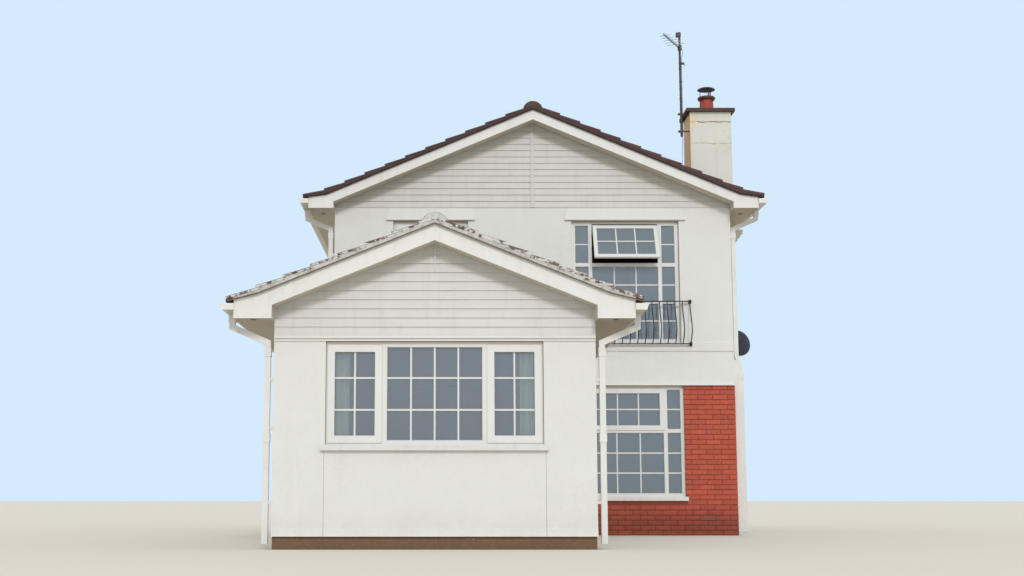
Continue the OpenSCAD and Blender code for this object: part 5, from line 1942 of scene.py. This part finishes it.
@dataclass
class Studio:
    """Pale floor, soft light and the photograph's camera."""

    eye: Place = (-1.268, -25.740, 0.523)
    tilt: float = 98.32
    lens: float = 50.98
    sideways: float = 0.0605
    floor: Colour = (0.70, 0.655, 0.58)
    sky: Colour = (0.662, 0.823, 0.985)
    light: float = 0.87
    light_tint: Colour = (0.97, 0.99, 1.0)
    sun: float = 1.18
    sun_tint: Colour = (0.985, 0.995, 0.995)
    sun_width: float = 11.0
    sun_tilt: float = 63.0
    sun_turn: float = 5.0
    sensor: float = 36.0
    farthest: float = 2000.0
    floor_half: float = 600.0
    floor_roughness: float = 0.95

    def build(self) -> None:
        """Builds the camera first, then the light and the floor."""
        scene = bpy.context.scene
        view = bpy.data.cameras.new("camera")
        view.sensor_width = self.sensor
        view.lens = self.lens
        view.shift_x = self.sideways
        view.clip_end = self.farthest
        camera = bpy.data.objects.new("camera", view)
        camera.location = self.eye
        camera.rotation_euler = (math.radians(self.tilt), 0.0, 0.0)
        scene.collection.objects.link(camera)
        scene.camera = camera
        scene.view_settings.view_transform = "Standard"
        self.build_light(scene)
        self.build_floor(scene)

    def build_light(self, scene: bpy.types.Scene) -> None:
        """Lights the house evenly from the sky, with a wide soft lamp from the front.

        Args:
            scene: the scene.
        """
        world = bpy.data.worlds.new("studio")
        world.use_nodes = True
        scene.world = world
        t = ShaderTree(world.node_tree)
        background = world.node_tree.nodes["Background"]
        path = t.add("ShaderNodeLightPath")
        seen = t.math("MAXIMUM", path.outputs["Is Camera Ray"], path.outputs["Is Transmission Ray"])
        lit = tuple(self.light * c for c in self.light_tint)
        t.feed(background.inputs["Color"], t.mix(seen, lit, self.sky))
        lamp = bpy.data.lights.new("soft_sun", "SUN")
        lamp.energy = self.sun
        lamp.angle = math.radians(self.sun_width)
        lamp.color = self.sun_tint
        sun = bpy.data.objects.new("soft_sun", lamp)
        sun.rotation_euler = (math.radians(self.sun_tilt), 0.0, math.radians(self.sun_turn))
        scene.collection.objects.link(sun)

    def build_floor(self, scene: bpy.types.Scene) -> None:
        """Lays the plain floor.

        Args:
            scene: the scene.
        """
        work = bmesh.new()
        bmesh.ops.create_grid(work, x_segments=1, y_segments=1, size=self.floor_half)
        mesh = bpy.data.meshes.new("studio_floor")
        work.to_mesh(mesh)
        work.free()
        material, _, shader = start_material("studio floor")
        shader.inputs["Base Color"].default_value = (*self.floor, 1.0)
        shader.inputs["Roughness"].default_value = self.floor_roughness
        mesh.materials.append(material)
        floor = bpy.data.objects.new("studio_floor", mesh)
        scene.collection.objects.link(floor)


def front_windows() -> list[Window]:
    """Returns the windows of the front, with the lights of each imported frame.

    Returns:
        The windows.
    """
    thirds = (0.3917, 0.738)
    return [
        Window("extension_window", (-2.6175, -10.005, 1.099), (2.365, 1.135), [
            Light(0.060, 0.609, 0.060, 1.075, 2, 3, (0.044, 0.006, 0.029, 0.026), thirds),
            Light(0.663, 1.702, 0.060, 1.075, 4, 3, None, thirds),
            Light(1.756, 2.305, 0.060, 1.075, 2, 3, (0.006, 0.044, 0.029, 0.026), thirds),
        ], sash_face=0.0825),
        Window("lower_window", (0.5755, -3.755, 0.560), (1.705, 1.680), [
            Light(0.060, 0.265, 0.060, 0.968, 1, 3), Light(0.319, 1.386, 0.060, 0.968, 3, 3),
            Light(1.440, 1.645, 0.060, 0.968, 1, 3), Light(0.060, 0.265, 1.022, 1.620, 1, 2),
            Light(0.319, 1.386, 1.022, 1.620, 3, 2, SASH_LAPS),
            Light(1.440, 1.645, 1.022, 1.620, 1, 2)]),
        Window("upper_window", (0.595, -3.755, 2.888), (1.650, 1.882), [
            Light(0.060, 0.265, 0.060, 1.182, 1, 4), Light(0.319, 1.331, 0.060, 1.182, 3, 4),
            Light(1.385, 1.590, 0.060, 1.182, 1, 4), Light(0.060, 0.265, 1.236, 1.822, 1, 2),
            Light(1.385, 1.590, 1.236, 1.822, 1, 2)]),
        Window("small_window", (-2.140, -3.755, 3.900), (1.150, 0.870), [
            Light(0.060, 0.548, 0.060, 0.810, 2, 2, SASH_LAPS),
            Light(0.602, 1.090, 0.060, 0.810, 2, 2)]),
    ]


def rear_windows() -> list[Window]:
    """Returns the four rear windows, which plainly repeat the front's bars.

    Returns:
        The windows.
    """
    made = []
    for side in Side:
        for floor, foot, height in (("low", 1.100, 1.050), ("high", 3.720, 1.050)):
            corner = (side.value * 1.500 + 0.600, 3.755, foot)
            lights = [Light(0.060, 0.573, 0.060, height - 0.060, 2, 3, SASH_LAPS),
                      Light(0.627, 1.140, 0.060, height - 0.060, 2, 3)]
            name = f"rear_{floor}_{side.name.lower()}_window"
            made.append(Window(name, corner, (1.200, height), lights, rear=True))
    return made


def main() -> None:
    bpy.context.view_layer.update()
    Studio().build()
    CadFinishes().apply()
    assemblies = [
        RoofCover("main", MAIN_ROOF, Finishes.MAIN_TILES, Slot.MAIN_TILES, Finishes.MAIN_UNDERCLOAK,
                  STACK),
        RoofCover("extension", EXTENSION_ROOF, Finishes.EXTENSION_TILES, Slot.EXTENSION_TILES,
                  Finishes.UNDERCLOAK),
        Brickwork(),
        *front_windows(),
        *rear_windows(),
        OpenVent(),
        Rainwater(MAIN_ROOF, "main", -4.05, 4.03, -3.660),
        Rainwater(EXTENSION_ROOF, "extension", -10.25, -3.90, -10.220),
        Flashings(),
        ChimneyTop(),
        Aerials(),
        Railing(),
        Doorway(),
        WallFittings(),
        Curtains(),
    ]
    for assembly in assemblies:
        assembly.build()
        LOG.info("built %s", type(assembly).__name__)


if __name__ == "__main__":
    logging.basicConfig(level=logging.INFO, format="%(name)s: %(message)s")
    main()
